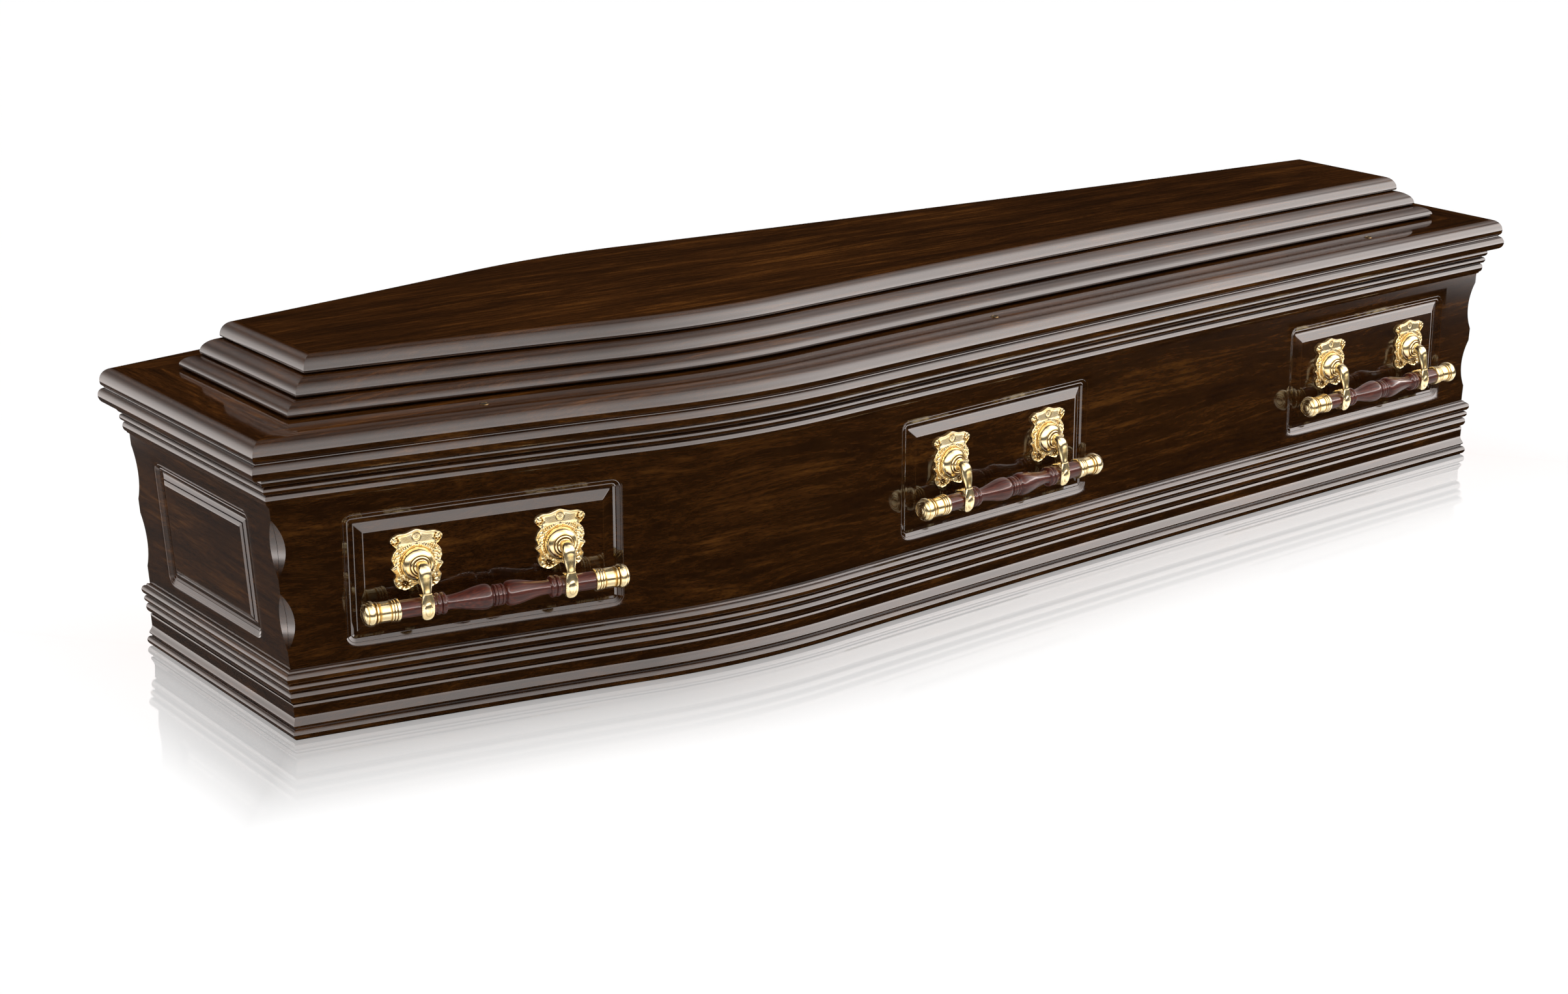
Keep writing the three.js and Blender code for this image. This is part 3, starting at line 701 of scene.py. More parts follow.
def smooth_line(corners, steps, closed):
    """A smooth curve through its corners, in any number of dimensions."""
    line = np.array(corners, float)
    if closed:
        line = np.concatenate([line[-1:], line, line[:2]])
    else:
        line = np.concatenate([2 * line[:1] - line[1:2], line, 2 * line[-1:] - line[-2:-1]])
    t = np.linspace(0, 1, steps, endpoint=False)[:, None]
    parts = []
    for a, b, c, d in zip(line, line[1:], line[2:], line[3:]):
        parts.append(0.5 * (2 * b + (c - a) * t + (2 * a - 5 * b + 4 * c - d) * t ** 2
                            + (3 * b - a - 3 * c + d) * t ** 3))
    whole = np.concatenate(parts)
    return whole if closed else np.concatenate([whole, line[-2:-1]])


def hump(distance, width):
    """A soft rise of height 1 that fades with distance."""
    return np.exp(-(distance / width) ** 2)


def plate_relief(u, v, t):
    """The casting's height over its back at (u, v); t runs from 0 at the outline to 1 at the boss."""
    u = np.abs(u)
    ear = np.hypot(u - EAR[0], v - EAR[1])
    turn = np.arctan2(v - EAR[1], u - EAR[0])
    shell = np.hypot(u - SHELL[0], v - SHELL[1])
    fan = np.arctan2(v - SHELL[1], u - SHELL[0])
    spur = np.hypot(np.clip(np.abs(u - SPUR[0]) - SPUR_HALF, 0, None),
                    v - SPUR[1] + SPUR_TILT * (u - SPUR[0]))
    polished = np.clip((v - POLISHED_FROM) / 5.0, 0, 1) * np.clip((ear - 4.0) / 3.0, 0, 1)
    height = PLATE_HEIGHT + PLATE_CROWN * t + EDGE_BEAD * hump(t - 0.05, 0.05) + POLISHED_RISE * polished
    height += 0.9 * hump(ear, EAR_EYE)
    height -= 0.7 * hump(ear - EAR_CURL, 1.1) * (0.55 + 0.45 * np.cos(EAR_LOBES * turn))
    for lobe_u, lobe_v in LEAF_LOBES:
        height += LOBE_RISE * hump(np.hypot(u - lobe_u, (v - lobe_v) * 1.25), LOBE_SIZE)
    height += SPUR_RISE * hump(spur, 1.6)
    height -= SEAT_DEPTH * hump(np.hypot(u, v - TOP_SCREW[1]) - SEAT_RADIUS, 0.6)
    height += RING_RISE * hump(np.hypot(u, v) - RING_RADIUS, RING_WIDTH)
    height += hump(shell - SHELL_FAN, 3.0) * (0.5 + 0.5 * np.cos(SHELL_RIBS * fan))
    height -= 0.9 * hump(shell, SHELL_CUP)
    ground = (1 - polished) * np.clip(1 - hump(shell, 9.0) - hump(u - 26.0, 5.0), 0, 1)
    pitch = math.pi / STIPPLE
    height += STIPPLE_RISE * ground * np.sin(pitch * (u + 0.3 * v)) * np.sin(pitch * (v - 0.3 * u))
    return height


def bracket_plate():
    """Points, faces and painted shade of the plate's hollows, by loops drawn in from its outline to the boss.
    """
    half = np.array(HALF_OUTLINE, float)
    other = half[1:-1][::-1] * (-1, 1)
    outline = smooth_line(np.concatenate([half, other]), 10, True)
    count = len(outline)
    angle = np.arctan2(outline[:, 1], outline[:, 0])
    inner = BOSS_ROOT * np.stack([np.cos(angle), np.sin(angle)], axis=1)
    points = [np.column_stack([outline, np.full(count, PLATE_BACK)]),
              np.column_stack([outline * 1.005, np.full(count, PLATE_ARRIS)])]
    # Painted shade: none at the plate's back edge and half at its arris, so its thin side face is shaded.
    hollow = [np.zeros(count), np.full(count, 0.5)]
    for t in np.linspace(0.0, 1.0, PLATE_RINGS) ** 0.9:
        flat = outline + (inner - outline) * t
        height = plate_relief(flat[:, 0], flat[:, 1], t)
        points.append(np.column_stack([flat, height]))
        # Painted shade: the lower the relief lies below a rise that grows toward the boss, the darker the
        # point.
        hollow.append(np.clip((2.35 + 1.0 * t - height) * 1.1, 0, 1))
    rings = len(points)
    faces = ring_faces(rings, count) + [list(range(count)), list(range((rings - 1) * count, rings * count))]
    return np.concatenate(points), faces, np.concatenate(hollow)


def bracket_boss():
    """The domed boss and its stepped collar, turned about the line straight out from the plate."""
    profile = [
        (0.0, 1.0), (20.8, 1.0), (21.0, 2.6), (20.4, 3.4), (19.8, 3.6), (19.8, 4.6), (19.4, 7.2), (18.2, 9.8),
        (16.4, 11.9), (14.2, 13.3), (12.6, 13.9), (12.2, 13.4), (11.9, 13.4), (11.7, 14.3), (11.4, 15.0),
        (10.6, 15.5), (9.6, 15.6), (9.2, 15.2), (8.8, 15.2), (8.6, 16.2), (8.2, 17.0), (7.2, 17.4),
        (0.0, 17.4)]
    points, faces = lathe(profile, BOSS_STEPS)
    # Painted shade in the collar's grooves and the dome's steps, set per profile point.
    groove = {3: 0.4, 4: 0.7, 10: 0.3, 11: 1.0, 12: 1.0, 16: 0.3, 17: 1.0, 18: 1.0}
    return points, faces, np.repeat([groove.get(k, 0.0) for k in range(len(profile))], BOSS_STEPS)


def bracket_arm():
    """The swan-neck arm and its tongue: an oval section swept from the boss, out and down over the bar."""
    path = smooth_line([
        # out, down, half-width, half-thickness, front hollow
        (10.0, 0.3, 7.0, 7.0, 0.0), (17.0, 0.5, 7.1, 7.0, 0.0), (23.0, -0.2, 7.3, 6.7, 0.0),
        (27.0, -3.2, 7.6, 6.0, 0.0), (28.8, -9.0, 7.8, 5.2, 1.2), (30.2, -15.4, 7.3, 4.4, 1.6),
        (31.6, -21.6, 5.9, 3.7, 0.9), (33.0, -26.6, 5.2, 3.2, 0.0), (34.2, -31.0, 6.6, 2.6, 0.0),
        (35.3, -36.0, 7.5, 2.2, 0.3), (35.8, -42.0, 7.7, 2.0, 0.4), (35.4, -48.0, 7.6, 2.0, 0.3),
        (34.0, -53.0, 6.9, 1.9, 0.0), (32.8, -56.0, 5.2, 1.6, 0.0), (32.2, -57.2, 3.0, 1.2, 0.0)], 6, False)
    slope = np.gradient(path[:, :2], axis=0)
    slope /= np.linalg.norm(slope, axis=1)[:, None]
    turn = np.linspace(0, 2 * math.pi, ARM_SIDES, endpoint=False)
    side = np.sign(np.cos(turn)) * np.abs(np.cos(turn)) ** 0.75
    lift = np.sign(np.sin(turn)) * np.abs(np.sin(turn)) ** 0.75
    points, hollow = [], []
    for (out, down, wide, thick, dip), (run_out, run_down) in zip(path, slope):
        over = thick * lift - dip * np.where(lift > 0, np.clip(1 - np.abs(side) / 0.7, 0, 1), 0.0)
        points.append(np.column_stack([wide * side, down + over * run_out, out - over * run_down]))
        # Painted shade along the middle of the front hollow, stronger the deeper it dips.
        hollow.append(np.where((lift > 0.3) & (np.abs(side) < 0.5), 0.15 * min(dip, 1.0), 0.0))
    count = len(path)
    faces = ring_faces(count, ARM_SIDES)
    faces += [list(range(ARM_SIDES)), list(range((count - 1) * ARM_SIDES, count * ARM_SIDES))]
    return np.concatenate(points), faces, np.concatenate(hollow)


def ball(middle, reach, rings=6, sides=10):
    """A small round, or oval, bead of metal."""
    turn = np.linspace(-math.pi / 2, math.pi / 2, rings + 1)
    points, faces = lathe([(max(math.cos(a), 0.0), math.sin(a)) for a in turn], sides)
    return points * np.array(reach) + np.array(middle), faces, np.zeros(len(points))


def turned_along(profile):
    """A solid turned about a handle's bar line, from (radius, along) points."""
    points, faces = lathe(profile)
    return np.stack([points[:, 2], points[:, 0] - BAR_DROP, points[:, 1] + BAR_STANDOFF], axis=1), faces


def bracket_clasp():
    """The clasp's fine work: a raised oval on the tongue, beads round it, a ring at the waist and the eye."""
    parts = [ball((0, -CLIP_MIDDLE - 1.5, CLIP_FACE - 0.3), CLIP_OVAL, 14, 32)]
    for k in range(CLIP_BEADS):
        a = 2 * math.pi * (k + 0.5) / CLIP_BEADS
        u, v = CLIP_BEAD_RING[0] * math.cos(a), -CLIP_MIDDLE + CLIP_BEAD_RING[1] * math.sin(a)
        out = CLIP_FACE + 0.1 - 0.02 * (v + CLIP_MIDDLE) ** 2 - 0.008 * u * u
        parts.append(ball((u, v, out), [CLIP_BEAD_RADIUS] * 3))
    for k in range(7):
        u = -4.5 + 1.5 * k
        parts.append(ball((u, -27.0, CLIP_FACE - 1.2 - 0.05 * u * u), (0.8, 1.0, 0.9)))
    eye_half = [(BAR_RADIUS, -5.5), (13.0, -5.5), (13.7, -4.8), (13.9, -3.6), (13.3, -2.8)]
    eye = [*eye_half, *[(radius, -along) for radius, along in eye_half[::-1]], eye_half[0]]
    points, faces = turned_along(eye)
    return [*parts, (points, faces, np.zeros(len(points)))]


def joined(parts):
    """Several solids as one set of points, faces and painted shade for their hollows."""
    points, faces, hollow, start = [], [], [], 0
    for part_points, part_faces, part_hollow in parts:
        points.append(part_points)
        hollow.append(part_hollow)
        faces += [tuple(start + k for k in face) for face in part_faces]
        start += len(part_points)
    return np.concatenate(points), faces, np.concatenate(hollow)


def gilt_casting(name):
    """Gilt zinc under clear lacquer: bright yellow-gold on what stands proud, brown in the hollows from a
    patina and from painted shade, and a fine cast grain that breaks its highlights into sparks."""
    made, tree, output = new_material(name)
    place = add_node(tree, "TexCoord", {}).outputs["Object"]
    # The hollow values read here are painted shade: they darken recesses, grooves and the plate's edge
    # towards brown, over the patina.
    hollow = add_node(tree, "Attribute", {}, attribute_name="wear")
    patch = add_node(tree, "TexNoise", {"Vector": place, "Scale": 1 / (MM * 11.0), "Detail": 3.0})
    grain = add_node(tree, "TexNoise", {"Vector": place, "Scale": 1 / (MM * 1.3), "Detail": 2.0})
    depth = add_node(tree, "Math", {0: patch.outputs["Fac"], 1: 0.45, 2: hollow.outputs["Fac"]},
                     operation="MULTIPLY_ADD")
    tone = add_node(tree, "ValToRGB", {"Fac": depth.outputs[0]}, stops=(
        (0.14, "#fdefc6"), (0.34, "#f6dd9e"), (0.6, "#c3954a"), (0.92, "#4a2f12")))
    rough = add_node(tree, "MapRange", {"Value": depth.outputs[0], "From Min": 0.15, "From Max": 0.9,
                                        "To Min": 0.13, "To Max": 0.45})
    bump = add_node(tree, "Bump", {"Height": grain.outputs["Fac"], "Strength": 0.25, "Distance": 0.12 * MM})
    shader = add_node(tree, "BsdfPrincipled", {"Base Color": tone.outputs[0], "Metallic": 1.0,
                                               "Roughness": rough.outputs[0], "Normal": bump.outputs[0]})
    tree.links.new(shader.outputs[0], output.inputs[0])
    return made


def handle_frame(sign, place):
    """Origin, along, up and out of a handle's place on a side wall, in millimetres."""
    x = PANEL_PLACES[place] + HANDLE_SHIFT
    step = 20.0
    points = side_place(sign)([x - step, x, x + step], BOSS_HEIGHT, 0.0)
    along = (points[2] - points[0]) * -sign
    along = along / np.linalg.norm(along)
    up = np.array([0.0, 0.0, 1.0])
    return points[1], along, up, np.cross(along, up)


def set_on_wall(points, sign, place, shift):
    """Points given as (along, up, out) of a handle's place, moved into the coffin."""
    origin, along, up, out = handle_frame(sign, place)
    return (origin + np.outer(points[:, 0] + shift, along) + np.outer(points[:, 1], up)
            + np.outer(points[:, 2], out))


gilt = gilt_casting("gilt_zinc_casting_lacquered")
bracket_shape = joined([bracket_plate(), bracket_boss(), bracket_arm(), *bracket_clasp()])
handles = [(side, sign, place) for side, sign in (("right", -1), ("left", 1)) for place in PANEL_PLACES]
ends = (("a", -1), ("b", 1))
for side, sign, place in handles:
    for end, way in ends:
        points, faces, hollow = bracket_shape
        name = f"bracket_{side}_{place}_{end}"
        placed = set_on_wall(points, sign, place, way * BRACKET_SPACING / 2)
        add_piece(name, placed, faces, gilt, [name], hollow, CAST_CREASE)

# Bracket screws
# Three brassed wood screws hold each plate: one above the boss and one in each shell corner. Their domed
# heads are pressed with a cross recess, which is painted near black as shade.
SCREW_RADIUS = 4.0
SCREW_DOME = 0.25
CROSS_ARM, CROSS_WIDTH, CROSS_DEPTH = 2.5, 0.6, 0.8
SCREW_PLACES = ((*TOP_SCREW, 2.75), (*SHELL, 1.7), (-SHELL[0], SHELL[1], 1.7))


def screw_head():
    """Points, faces and painted shade of a domed head, the shade lying in its cross recess."""
    radii = np.linspace(SCREW_RADIUS, 0.0, 18)
    points, faces = lathe([(0.0, -1.0), (SCREW_RADIUS, -1.0), *[(r, 0.0) for r in radii]], 40)
    u = np.abs(points[:, 0] + points[:, 1]) / math.sqrt(2)
    v = np.abs(points[:, 0] - points[:, 1]) / math.sqrt(2)
    arm, across = np.maximum(u, v), np.minimum(u, v)
    cross = np.clip((CROSS_ARM - arm) / 0.3, 0, 1) * np.clip((CROSS_WIDTH + 0.2 - across) / 0.3, 0, 1)
    face = points[:, 2] > -0.5
    dome = SCREW_DOME * (1 - (np.hypot(u, v) / SCREW_RADIUS) ** 2)
    points[:, 2] = np.where(face, dome - CROSS_DEPTH * cross, points[:, 2])
    return points, faces, np.where(face, cross, 0.0)


screw_brass = gilt_casting("brassed_screw_pressed")
screw_points, screw_faces, screw_recess_shade = screw_head()
for side, sign, place in handles:
    for end, way in ends:
        points, faces, hollow = joined([(screw_points + np.array(spot), screw_faces, screw_recess_shade)
                                        for spot in SCREW_PLACES])
        placed = set_on_wall(points, sign, place, way * BRACKET_SPACING / 2)
        screws = add_piece(f"screws_{side}_{place}_{end}", placed, faces, screw_brass, [],
                           hollow, CAST_CREASE)
        # The cross recess faces get the near-black material: painted shade.
        screws.data.materials.append(painted_hole_shade)
        recess = screws.data.attributes["wear"].data
        for face in screws.data.polygons:
            face.material_index = 1 if min(recess[k].value for k in face.vertices) > 0.3 else 0

# Handle bars
# One turned bar to a handle, of mahogany stained dark red-brown and gloss lacquered. Rings at its middle,
# then a long vase each way and two more rings before the plain length that runs through the brackets.
BAR_END = 154.2
BAR_HALF = [
    (12.3, 0.0), (12.4, 1.2), (12.0, 2.0), (11.2, 2.4), (11.2, 2.8), (12.2, 3.3), (12.6, 4.4), (12.2, 5.6),
    (11.0, 6.2), (10.2, 6.7), (10.0, 7.6), (10.8, 8.4), (13.0, 10.0), (14.2, 12.6), (14.6, 16.0),
    (14.4, 20.0), (13.6, 26.0), (12.4, 32.0), (11.0, 38.0), (9.8, 44.0), (8.8, 50.0), (8.3, 55.0),
    (8.3, 59.0), (8.8, 61.4), (11.0, 62.4), (12.5, 63.8), (12.7, 65.4), (12.3, 67.2), (11.2, 68.2),
    (10.6, 68.7), (11.2, 69.2), (12.4, 70.2), (12.6, 72.0), (12.0, 73.8), (10.9, 74.8), (10.4, 75.4),
    (BAR_RADIUS, 76.4), (BAR_RADIUS, 92.0), (BAR_RADIUS, 112.0), (BAR_RADIUS, 134.0), (BAR_RADIUS, BAR_END)]
BAR_GRAIN = (60.0, 2.2, 2.2)


def polished_mahogany(name):
    """Turned mahogany stained dark red-brown under gloss: fine lengthwise grain that swims under the coat,
    with a sharp light along each ring."""
    made, tree, output = new_material(name)
    place = add_node(tree, "TexCoord", {}).outputs["Object"]
    grain_at = add_node(tree, "Mapping", {"Vector": place, "Scale": [1 / (MM * size) for size in BAR_GRAIN]})
    grain = add_node(tree, "TexNoise", {"Vector": grain_at.outputs[0], "Scale": 1.0, "Detail": 4.0})
    tone = add_node(tree, "ValToRGB", {"Fac": grain.outputs["Fac"]}, stops=(
        (0.3, "#33110a"), (0.5, "#4d1c10"), (0.72, "#6e2f19")))
    rough = add_node(tree, "MapRange", {"Value": grain.outputs["Fac"], "From Min": 0.3, "From Max": 0.7,
                                        "To Min": 0.46, "To Max": 0.32})
    bump = add_node(tree, "Bump", {"Height": grain.outputs["Fac"], "Strength": 0.2, "Distance": 0.1 * MM})
    shader = add_node(tree, "BsdfPrincipled", {
        "Base Color": tone.outputs[0], "Roughness": rough.outputs[0], "Normal": bump.outputs[0],
        "Coat Weight": 1.0, "Coat Roughness": 0.05, "Specular IOR Level": 0.3})
    tree.links.new(shader.outputs[0], output.inputs[0])
    return made


mahogany = polished_mahogany("turned_mahogany_gloss")
bar_line = smooth_line(BAR_HALF, 2, False)
bar_line = [(0.0, -BAR_END), *[(r, -along) for r, along in bar_line[::-1]], *bar_line[1:].tolist(),
            (0.0, BAR_END)]
bar_points, bar_faces = turned_along(bar_line)
for side, sign, place in handles:
    name = f"bar_{side}_{place}"
    add_piece(name, set_on_wall(bar_points, sign, place, 0.0), bar_faces, mahogany, [name])

# Bar end caps
# A gilt ferrule on each end of a bar, spun thin and pushed over the wood. Three bead rings at its mouth, a
# straight barrel, a fine bead, then a flared drum and a domed end with rings.
CAP_BORE, CAP_MOUTH, CAP_END = 10.7, 117.0, 159.5
CAP_FLOOR = BAR_END + 0.3
CAP_RINGS = [
    (CAP_BORE, 0.0), (12.4, 0.0), (13.1, 0.8), (13.3, 2.2), (13.0, 3.7), (12.2, 4.3), (12.2, 4.6),
    (12.7, 5.1), (12.9, 6.1), (12.7, 7.1), (12.1, 7.6), (12.1, 7.9), (12.5, 8.3), (12.7, 9.2), (12.4, 10.1),
    (11.9, 10.6), (11.8, 13.0), (11.8, 17.0), (11.9, 21.4), (12.0, 25.2)]
CAP_DOME = [
    (12.5, 16.6), (12.7, 15.6), (12.3, 14.6), (11.9, 13.9), (13.3, 12.7), (14.3, 11.1), (14.5, 9.1),
    (14.2, 7.1), (13.4, 5.5), (12.9, 5.0), (12.7, 4.1), (12.2, 2.9), (11.0, 1.8), (9.6, 1.3), (9.2, 1.6),
    (8.8, 1.3), (7.6, 0.6), (6.2, 0.3), (5.8, 0.6), (5.4, 0.3), (3.6, 0.0), (0.0, 0.0)]
# Painted shade in the ferrule's grooves, set per point of its line.
CAP_GROOVE_SHADE = {5: 1.0, 6: 1.0, 10: 1.0, 11: 1.0, 15: 0.6, 19: 0.6, 22: 0.5, 23: 0.9, 29: 0.5, 34: 1.0,
               38: 1.0}
cap_line = [*[(r, CAP_MOUTH + along) for r, along in CAP_RINGS],
            *[(r, CAP_END - back) for r, back in CAP_DOME],
            (0.0, CAP_FLOOR), (CAP_BORE, CAP_FLOOR), (CAP_BORE, CAP_MOUTH)]
cap_groove_shade = np.repeat([CAP_GROOVE_SHADE.get(k, 0.0) for k in range(len(cap_line))], LATHE_STEPS)
cap_gilt = gilt_casting("gilt_ferrule_spun")
for side, sign, place in handles:
    for end, way in ends:
        cap_points, cap_faces = turned_along([(r, way * along) for r, along in cap_line])
        name = f"cap_{side}_{place}_{end}"
        placed = set_on_wall(cap_points, sign, place, 0.0)
        add_piece(name, placed, cap_faces, cap_gilt, [name], cap_groove_shade, CAST_CREASE)

# Studio floor
# A white sheet laid flat, polished round the coffin so that a pale mirror image fades away from its foot.
# It is lit evenly by a lamp of its own, and is not part of the object.
FLOOR_SPREAD = (0.0, 30.0, 60.0, 90.0, 130.0, 170.0, 220.0)
FLOOR_REACH = 30000.0
FLOOR_LEVEL = -0.1
FLOOR_MIRROR = 0.66
SHEET_INSET, SHEET_END, SHEET_END_SHARE = 20.0, 35.0, 0.7
floor_points, floor_polish = [], []
for spread in FLOOR_SPREAD:
    line = side_line(SHEET_INSET - spread, SHEET_END - SHEET_END_SHARE * spread)
    floor_points += [(x, -y, FLOOR_LEVEL) for x, y in line] + [(x, y, FLOOR_LEVEL) for x, y in line[::-1]]
    floor_polish += [max(0.0, 1 - spread / FLOOR_SPREAD[-1])] * (2 * len(line))
loop = 2 * len(stations)
floor_points += [(x * FLOOR_REACH / HALF_LENGTH, y * FLOOR_REACH / HEAD_HALF_WIDTH, z)
                 for x, y, z in floor_points[-loop:]]
floor_polish += [0.0] * loop
floor_faces = ring_faces(len(FLOOR_SPREAD) + 1, loop) + [list(range(loop))]
floor_mesh = bpy.data.meshes.new("studio_floor")
floor_mesh.from_pydata([tuple(np.array(p) * MM) for p in floor_points], [], floor_faces)
polish = floor_mesh.attributes.new("polish", "FLOAT", "POINT")
polish.data.foreach_set("value", np.array(floor_polish, np.float32))
floor_white, floor_tree, floor_output = new_material("white_paper_sheet_polished")
floor_attribute = add_node(floor_tree, "Attribute", {}, attribute_name="polish")
floor_share = add_node(floor_tree, "Math", {0: floor_attribute.outputs["Fac"], 1: FLOOR_MIRROR},
                       operation="MULTIPLY")
floor_matt = add_node(floor_tree, "BsdfDiffuse", {"Color": colour("#f7f7f7")})
floor_gloss = add_node(floor_tree, "BsdfAnisotropic", {"Color": colour("#ffffff"), "Roughness": 0.05})
floor_mix = add_node(floor_tree, "MixShader", {0: floor_share.outputs[0], 1: floor_matt.outputs[0],
                                               2: floor_gloss.outputs[0]})
floor_tree.links.new(floor_mix.outputs[0], floor_output.inputs[0])
floor_mesh.materials.append(floor_white)
floor = bpy.data.objects.new("studio_floor", floor_mesh)
bpy.context.scene.collection.objects.link(floor)
floor.visible_glossy = False

# Lamps
# Parts of a great white dome round the coffin, each lit unevenly and seen only in gloss, draw wide grey
# bands along its rounds while its flats stay dark. Soft boxes light the wood, and the floor has its own.
DIM_STUDIO = 0.004
FLOOR_LIGHT = 1.08
scene = bpy.context.scene
scene.view_settings.view_transform = "Standard"
world = bpy.data.worlds.new("dim_studio")
world.use_nodes = True
backing = world.node_tree.nodes["Background"]
backing.inputs["Color"].default_value = colour("#ffffff")
backing.inputs["Strength"].default_value = DIM_STUDIO
scene.world = world
coffin_only = bpy.data.collections.new("lit_by_soft_boxes")
wood_only = bpy.data.collections.new("wood_mirrors_these")
metal_only = bpy.data.collections.new("gilt_mirrors_these")
bars_only = bpy.data.collections.new("bars_mirror_these")
right_wood = bpy.data.collections.new("right_wood_mirrors_these")
left_wood = bpy.data.collections.new("left_wood_mirrors_these")
for piece in [o for o in scene.objects if o.name.endswith("_finished")]:
    coffin_only.objects.link(piece)
    kind = piece.name.split("_")[0]
    mirrors = wood_only
    if kind in ("bracket", "cap", "screws"):
        mirrors = metal_only
    elif kind == "bar":
        mirrors = bars_only
    mirrors.objects.link(piece)
    name = piece.name.removesuffix("_finished")
    turned_away = name.endswith(("_left", "_head")) or name in (
        "head_board", "lid_top_board", "lid_rim_foot", "lid_step_foot")
    if mirrors is wood_only and not turned_away:
        right_wood.objects.link(piece)
    if mirrors is wood_only and name.endswith("_left") and kind != "lid":
        left_wood.objects.link(piece)
floor_only = bpy.data.collections.new("lit_by_floor_lamps")
floor_only.objects.link(floor)


def soft_box(name, place, aim, size, radiance, receivers, glossy=True, diffuse=False):
    """A rectangular lamp of even brightness at a place, facing a point, in metres."""
    lamp = bpy.data.lights.new(name, "AREA")
    lamp.shape = "RECTANGLE"
    lamp.size, lamp.size_y = size
    lamp.color = colour("#fff6f4")[:3]
    lamp.energy = radiance * math.pi * size[0] * size[1]
    made = bpy.data.objects.new(name, lamp)
    made.location = place
    made.rotation_euler = (Vector(aim) - Vector(place)).to_track_quat("-Z", "Y").to_euler()
    made.visible_camera = False
    made.visible_glossy = glossy
    made.visible_diffuse = diffuse
    made.light_linking.receiver_collection = receivers
    scene.collection.objects.link(made)
    return made


def lit_backdrop(name, radius, by_heading, by_height, receivers):
    """Part of a great white dome round the coffin, lit unevenly. Its radiance is by_height's value times
    by_heading's share, each a list of (degrees, value); heading 0 faces the right side and 90 the foot."""
    headings = np.arange(by_heading[0][0], by_heading[-1][0] + 0.1, 4.0)
    heights = np.arange(by_height[0][0], by_height[-1][0] + 0.1, 2.0)
    round_share = np.interp(headings, *np.transpose(by_heading))
    radiance = np.interp(heights, *np.transpose(by_height))
    turn, rise = np.meshgrid(np.radians(headings), np.radians(heights))
    points = np.stack([np.sin(turn) * np.cos(rise), -np.cos(turn) * np.cos(rise), np.sin(rise)], axis=-1)
    size = len(headings)
    faces = [(r * size + k, r * size + k + 1, (r + 1) * size + k + 1, (r + 1) * size + k)
             for r in range(len(heights) - 1) for k in range(size - 1)]
    mesh = bpy.data.meshes.new(name)
    mesh.from_pydata([tuple(p) for p in radius * points.reshape(-1, 3)], [], faces)
    mesh.attributes.new("glow", "FLOAT", "POINT").data.foreach_set(
        "value", np.outer(radiance, round_share).ravel().astype(np.float32))
    mesh.materials.append(lit_sheet)
    made = bpy.data.objects.new(name, mesh)
    made.visible_camera = False
    made.visible_diffuse = False
    made.visible_shadow = False
    made.light_linking.receiver_collection = receivers
    scene.collection.objects.link(made)


lit_sheet, sheet_tree, sheet_output = new_material("lit_white_sheet")
sheet_glow = add_node(sheet_tree, "Attribute", {}, attribute_name="glow")
sheet_light = add_node(sheet_tree, "Emission", {"Color": colour("#fff7f3"),
                                                "Strength": sheet_glow.outputs["Fac"]})
sheet_clear = add_node(sheet_tree, "BsdfTransparent", {})
sheet_sum = add_node(sheet_tree, "AddShader", {0: sheet_light.outputs[0], 1: sheet_clear.outputs[0]})
sheet_tree.links.new(sheet_sum.outputs[0], sheet_output.inputs[0])
SIDE_HEIGHTS = (
    (-12, 0.0), (-10, 9.0), (0, 8.2), (8, 7.2), (30, 7.2), (40, 6.2), (48, 5.0), (54, 3.8), (60, 2.9),
    (66, 2.1), (72, 1.1), (78, 0.4), (84, 0.1), (90, 0.0))
lit_backdrop("front_backdrop", 30.0, (
    (-40, 0.0), (-12, 0.4), (12, 0.55), (28, 0.8), (44, 1.0), (64, 1.0), (76, 0.0)), SIDE_HEIGHTS, right_wood)
lit_backdrop("foot_backdrop", 28.0, (
    (64, 0.0), (72, 0.5), (76, 0.7), (80, 0.6), (92, 0.4), (104, 0.22), (116, 0.06), (124, 0.0)), (
    (34, 0.0), *SIDE_HEIGHTS[5:]), right_wood)
lit_backdrop("left_backdrop", 29.0, (
    (104, 0.0), (116, 1.0), (136, 1.0), (152, 0.8), (168, 0.55), (192, 0.4), (220, 0.0)),
    SIDE_HEIGHTS, left_wood)
lit_backdrop("far_backdrop", 31.0, ((96, 0.0), (116, 1.0), (132, 0.7), (148, 0.2), (180, 0.0)), (
    (22, 0.0), (34, 0.6), (46, 1.0), (60, 0.8), (72, 0.3), (82, 0.0)), wood_only)
lit_backdrop("head_backdrop", 32.0, ((-196, 0.0), (-180, 0.7), (-164, 1.0), (-136, 1.0), (-120, 0.0)), (
    (-60, 0.08), (-20, 0.12), (-18, 0.12), (-16, 2.8), (-12, 3.1), (-4, 3.0), (5, 2.6), (10, 1.8), (16, 1.0),
    (22, 0.5), (30, 0.3), (44, 0.1), (60, 0.0)), wood_only)
lit_backdrop("corner_backdrop", 33.0, (
    (-128, 0.0), (-116, 0.9), (-108, 0.8), (-100, 0.2), (-92, 0.1), (-84, 0.5), (-76, 1.0), (-56, 1.0),
    (-44, 0.0)), (
    (-76, 0.8), (-46, 1.6), (-30, 2.6), (-20, 4.0), (-12, 8.0), (-8, 8.0), (-4, 3.0), (2, 0.8), (12, 0.1),
    (20, 0.0)), wood_only)
lit_backdrop("back_backdrop", 35.0, ((165, 0.0), (190, 1.0), (250, 1.0), (275, 0.0)), (
    (25, 0.0), (40, 1.6), (60, 1.4), (76, 0.5), (88, 0.0)), wood_only)
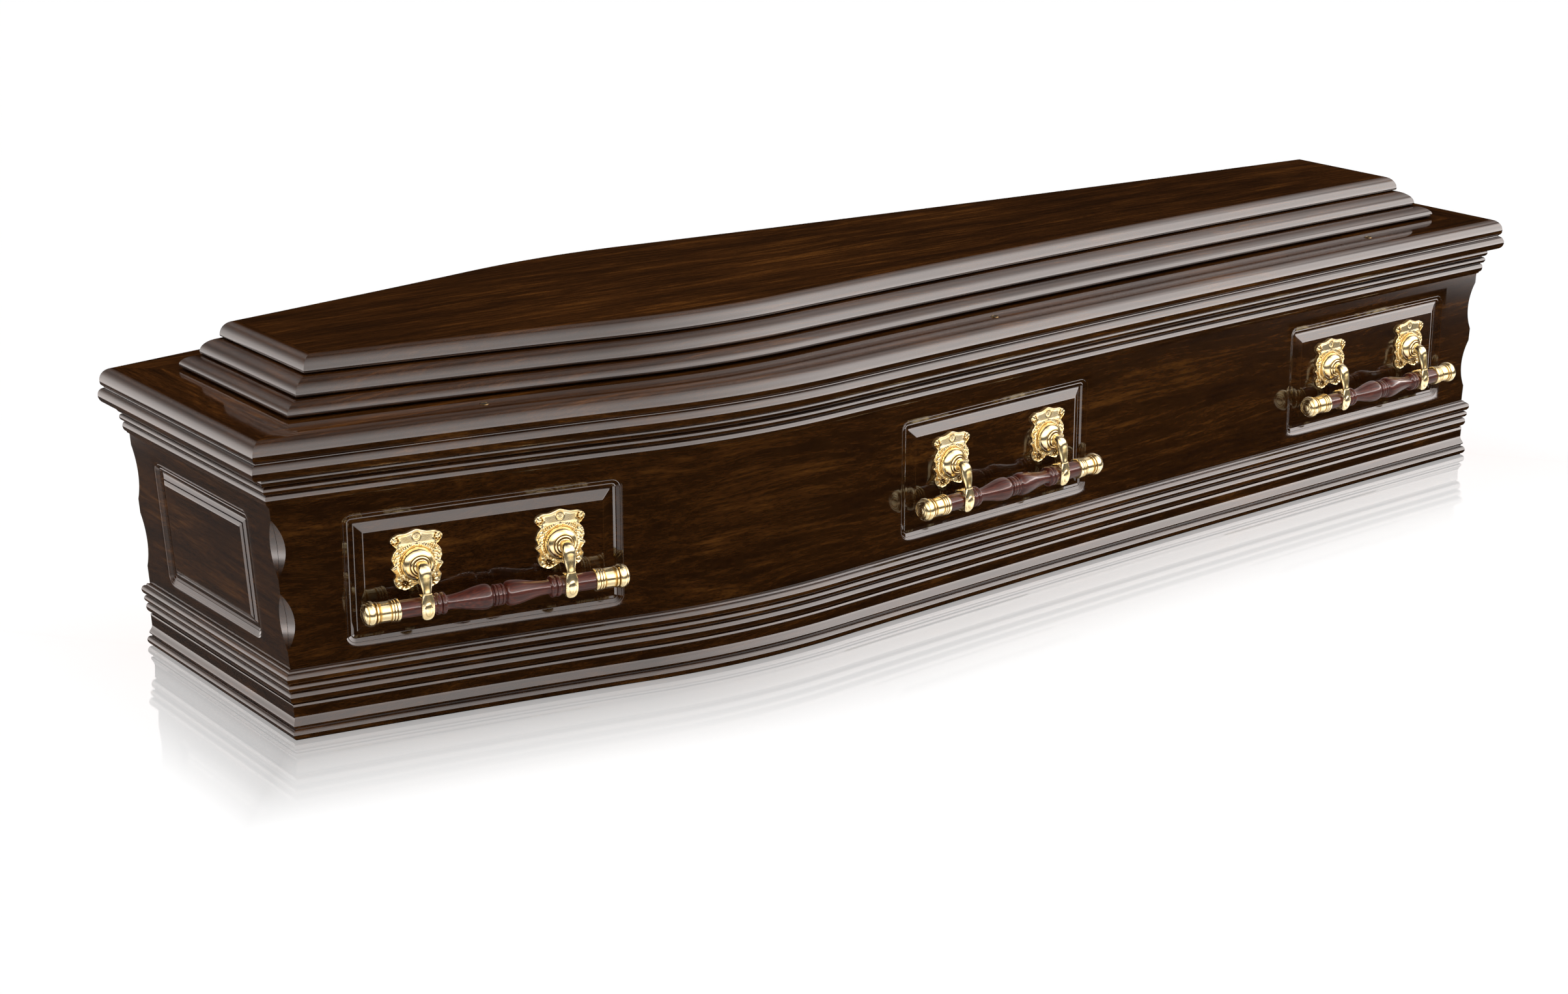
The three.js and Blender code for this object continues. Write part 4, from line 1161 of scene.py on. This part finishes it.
lit_backdrop("head_strip", 36.0, ((-30, 0.0), (-26, 1.0), (-14, 1.0), (-10, 0.0)), (
    (-30, 0.0), (-24, 4.0), (-10, 4.0), (-6, 0.0)), wood_only)
lit_backdrop("foot_strip", 37.0, ((68, 0.0), (74, 1.0), (86, 1.0), (92, 0.0)), (
    (-30, 0.0), (-24, 4.5), (-10, 4.5), (-6, 0.0)), wood_only)
lit_backdrop("gilt_backdrop", 34.0, (
    (-180, 0.8), (-150, 1.0), (-110, 1.0), (-80, 0.5), (-56, 0.9), (-24, 1.0), (8, 0.9), (26, 0.7), (44, 1.1),
    (72, 1.2), (96, 0.6), (130, 0.5), (180, 0.8)), (
    (-88, 0.8), (-40, 1.0), (-28, 1.9), (-16, 1.9), (-11, 0.15), (6, 0.08), (11, 1.3), (18, 2.8), (40, 2.8),
    (58, 1.7), (74, 0.8), (82, 0.2), (90, 0.05)), metal_only)
lit_backdrop("bar_backdrop", 38.0, ((-180, 1.0), (180, 1.0)), (
    (-88, 0.4), (-30, 0.6), (-18, 0.7), (-10, 0.2), (8, 0.1), (12, 1.0), (15, 8.0), (18, 8.0), (21, 2.4),
    (36, 1.2), (60, 0.5), (78, 0.2), (90, 0.1)), bars_only)
soft_box("key_front", (1.2, -3.8, 3.4), (0.0, 0.0, 0.2), (5.0, 3.0), 2.6, coffin_only, False, True)
soft_box("key_over", (0.0, 0.4, 4.2), (0.0, 0.0, 0.4), (5.0, 4.0), 3.2, coffin_only, False, True)
soft_box("key_head", (-4.2, 0.6, 2.2), (-0.9, 0.0, 0.3), (3.0, 2.6), 2.0, coffin_only, False, True)
soft_box("key_back", (0.6, 4.2, 3.2), (0.0, 0.0, 0.2), (5.0, 3.0), 1.8, coffin_only, False, True)
soft_box("floor_glow", (4.5, 6.5, 3.0), (0.0, 0.0, 0.0), (26.0, 12.0), 1.0, floor_only)
sun = bpy.data.lights.new("floor_lamp", "SUN")
sun.energy = math.pi * FLOOR_LIGHT
sun.angle = math.radians(40.0)
floor_lamp = bpy.data.objects.new("floor_lamp", sun)
floor_lamp.light_linking.receiver_collection = floor_only
floor_lamp.light_linking.blocker_collection = floor_only
scene.collection.objects.link(floor_lamp)

# Camera
# It stands at the head end's right, a little above the lid, and looks along the coffin's right side. Its
# place and lens give the photograph's own perspective.
camera_data = bpy.data.cameras.new("photo_view")
camera_data.sensor_width = 36.0
camera_data.lens = 66.2
camera_data.clip_end = 200.0
camera = bpy.data.objects.new("photo_view", camera_data)
camera.location = (-2.2839, -2.9285, 1.2130)
camera.rotation_euler = Vector((0.5627, 0.7717, -0.2965)).to_track_quat("-Z", "Y").to_euler()
scene.collection.objects.link(camera)
scene.camera = camera
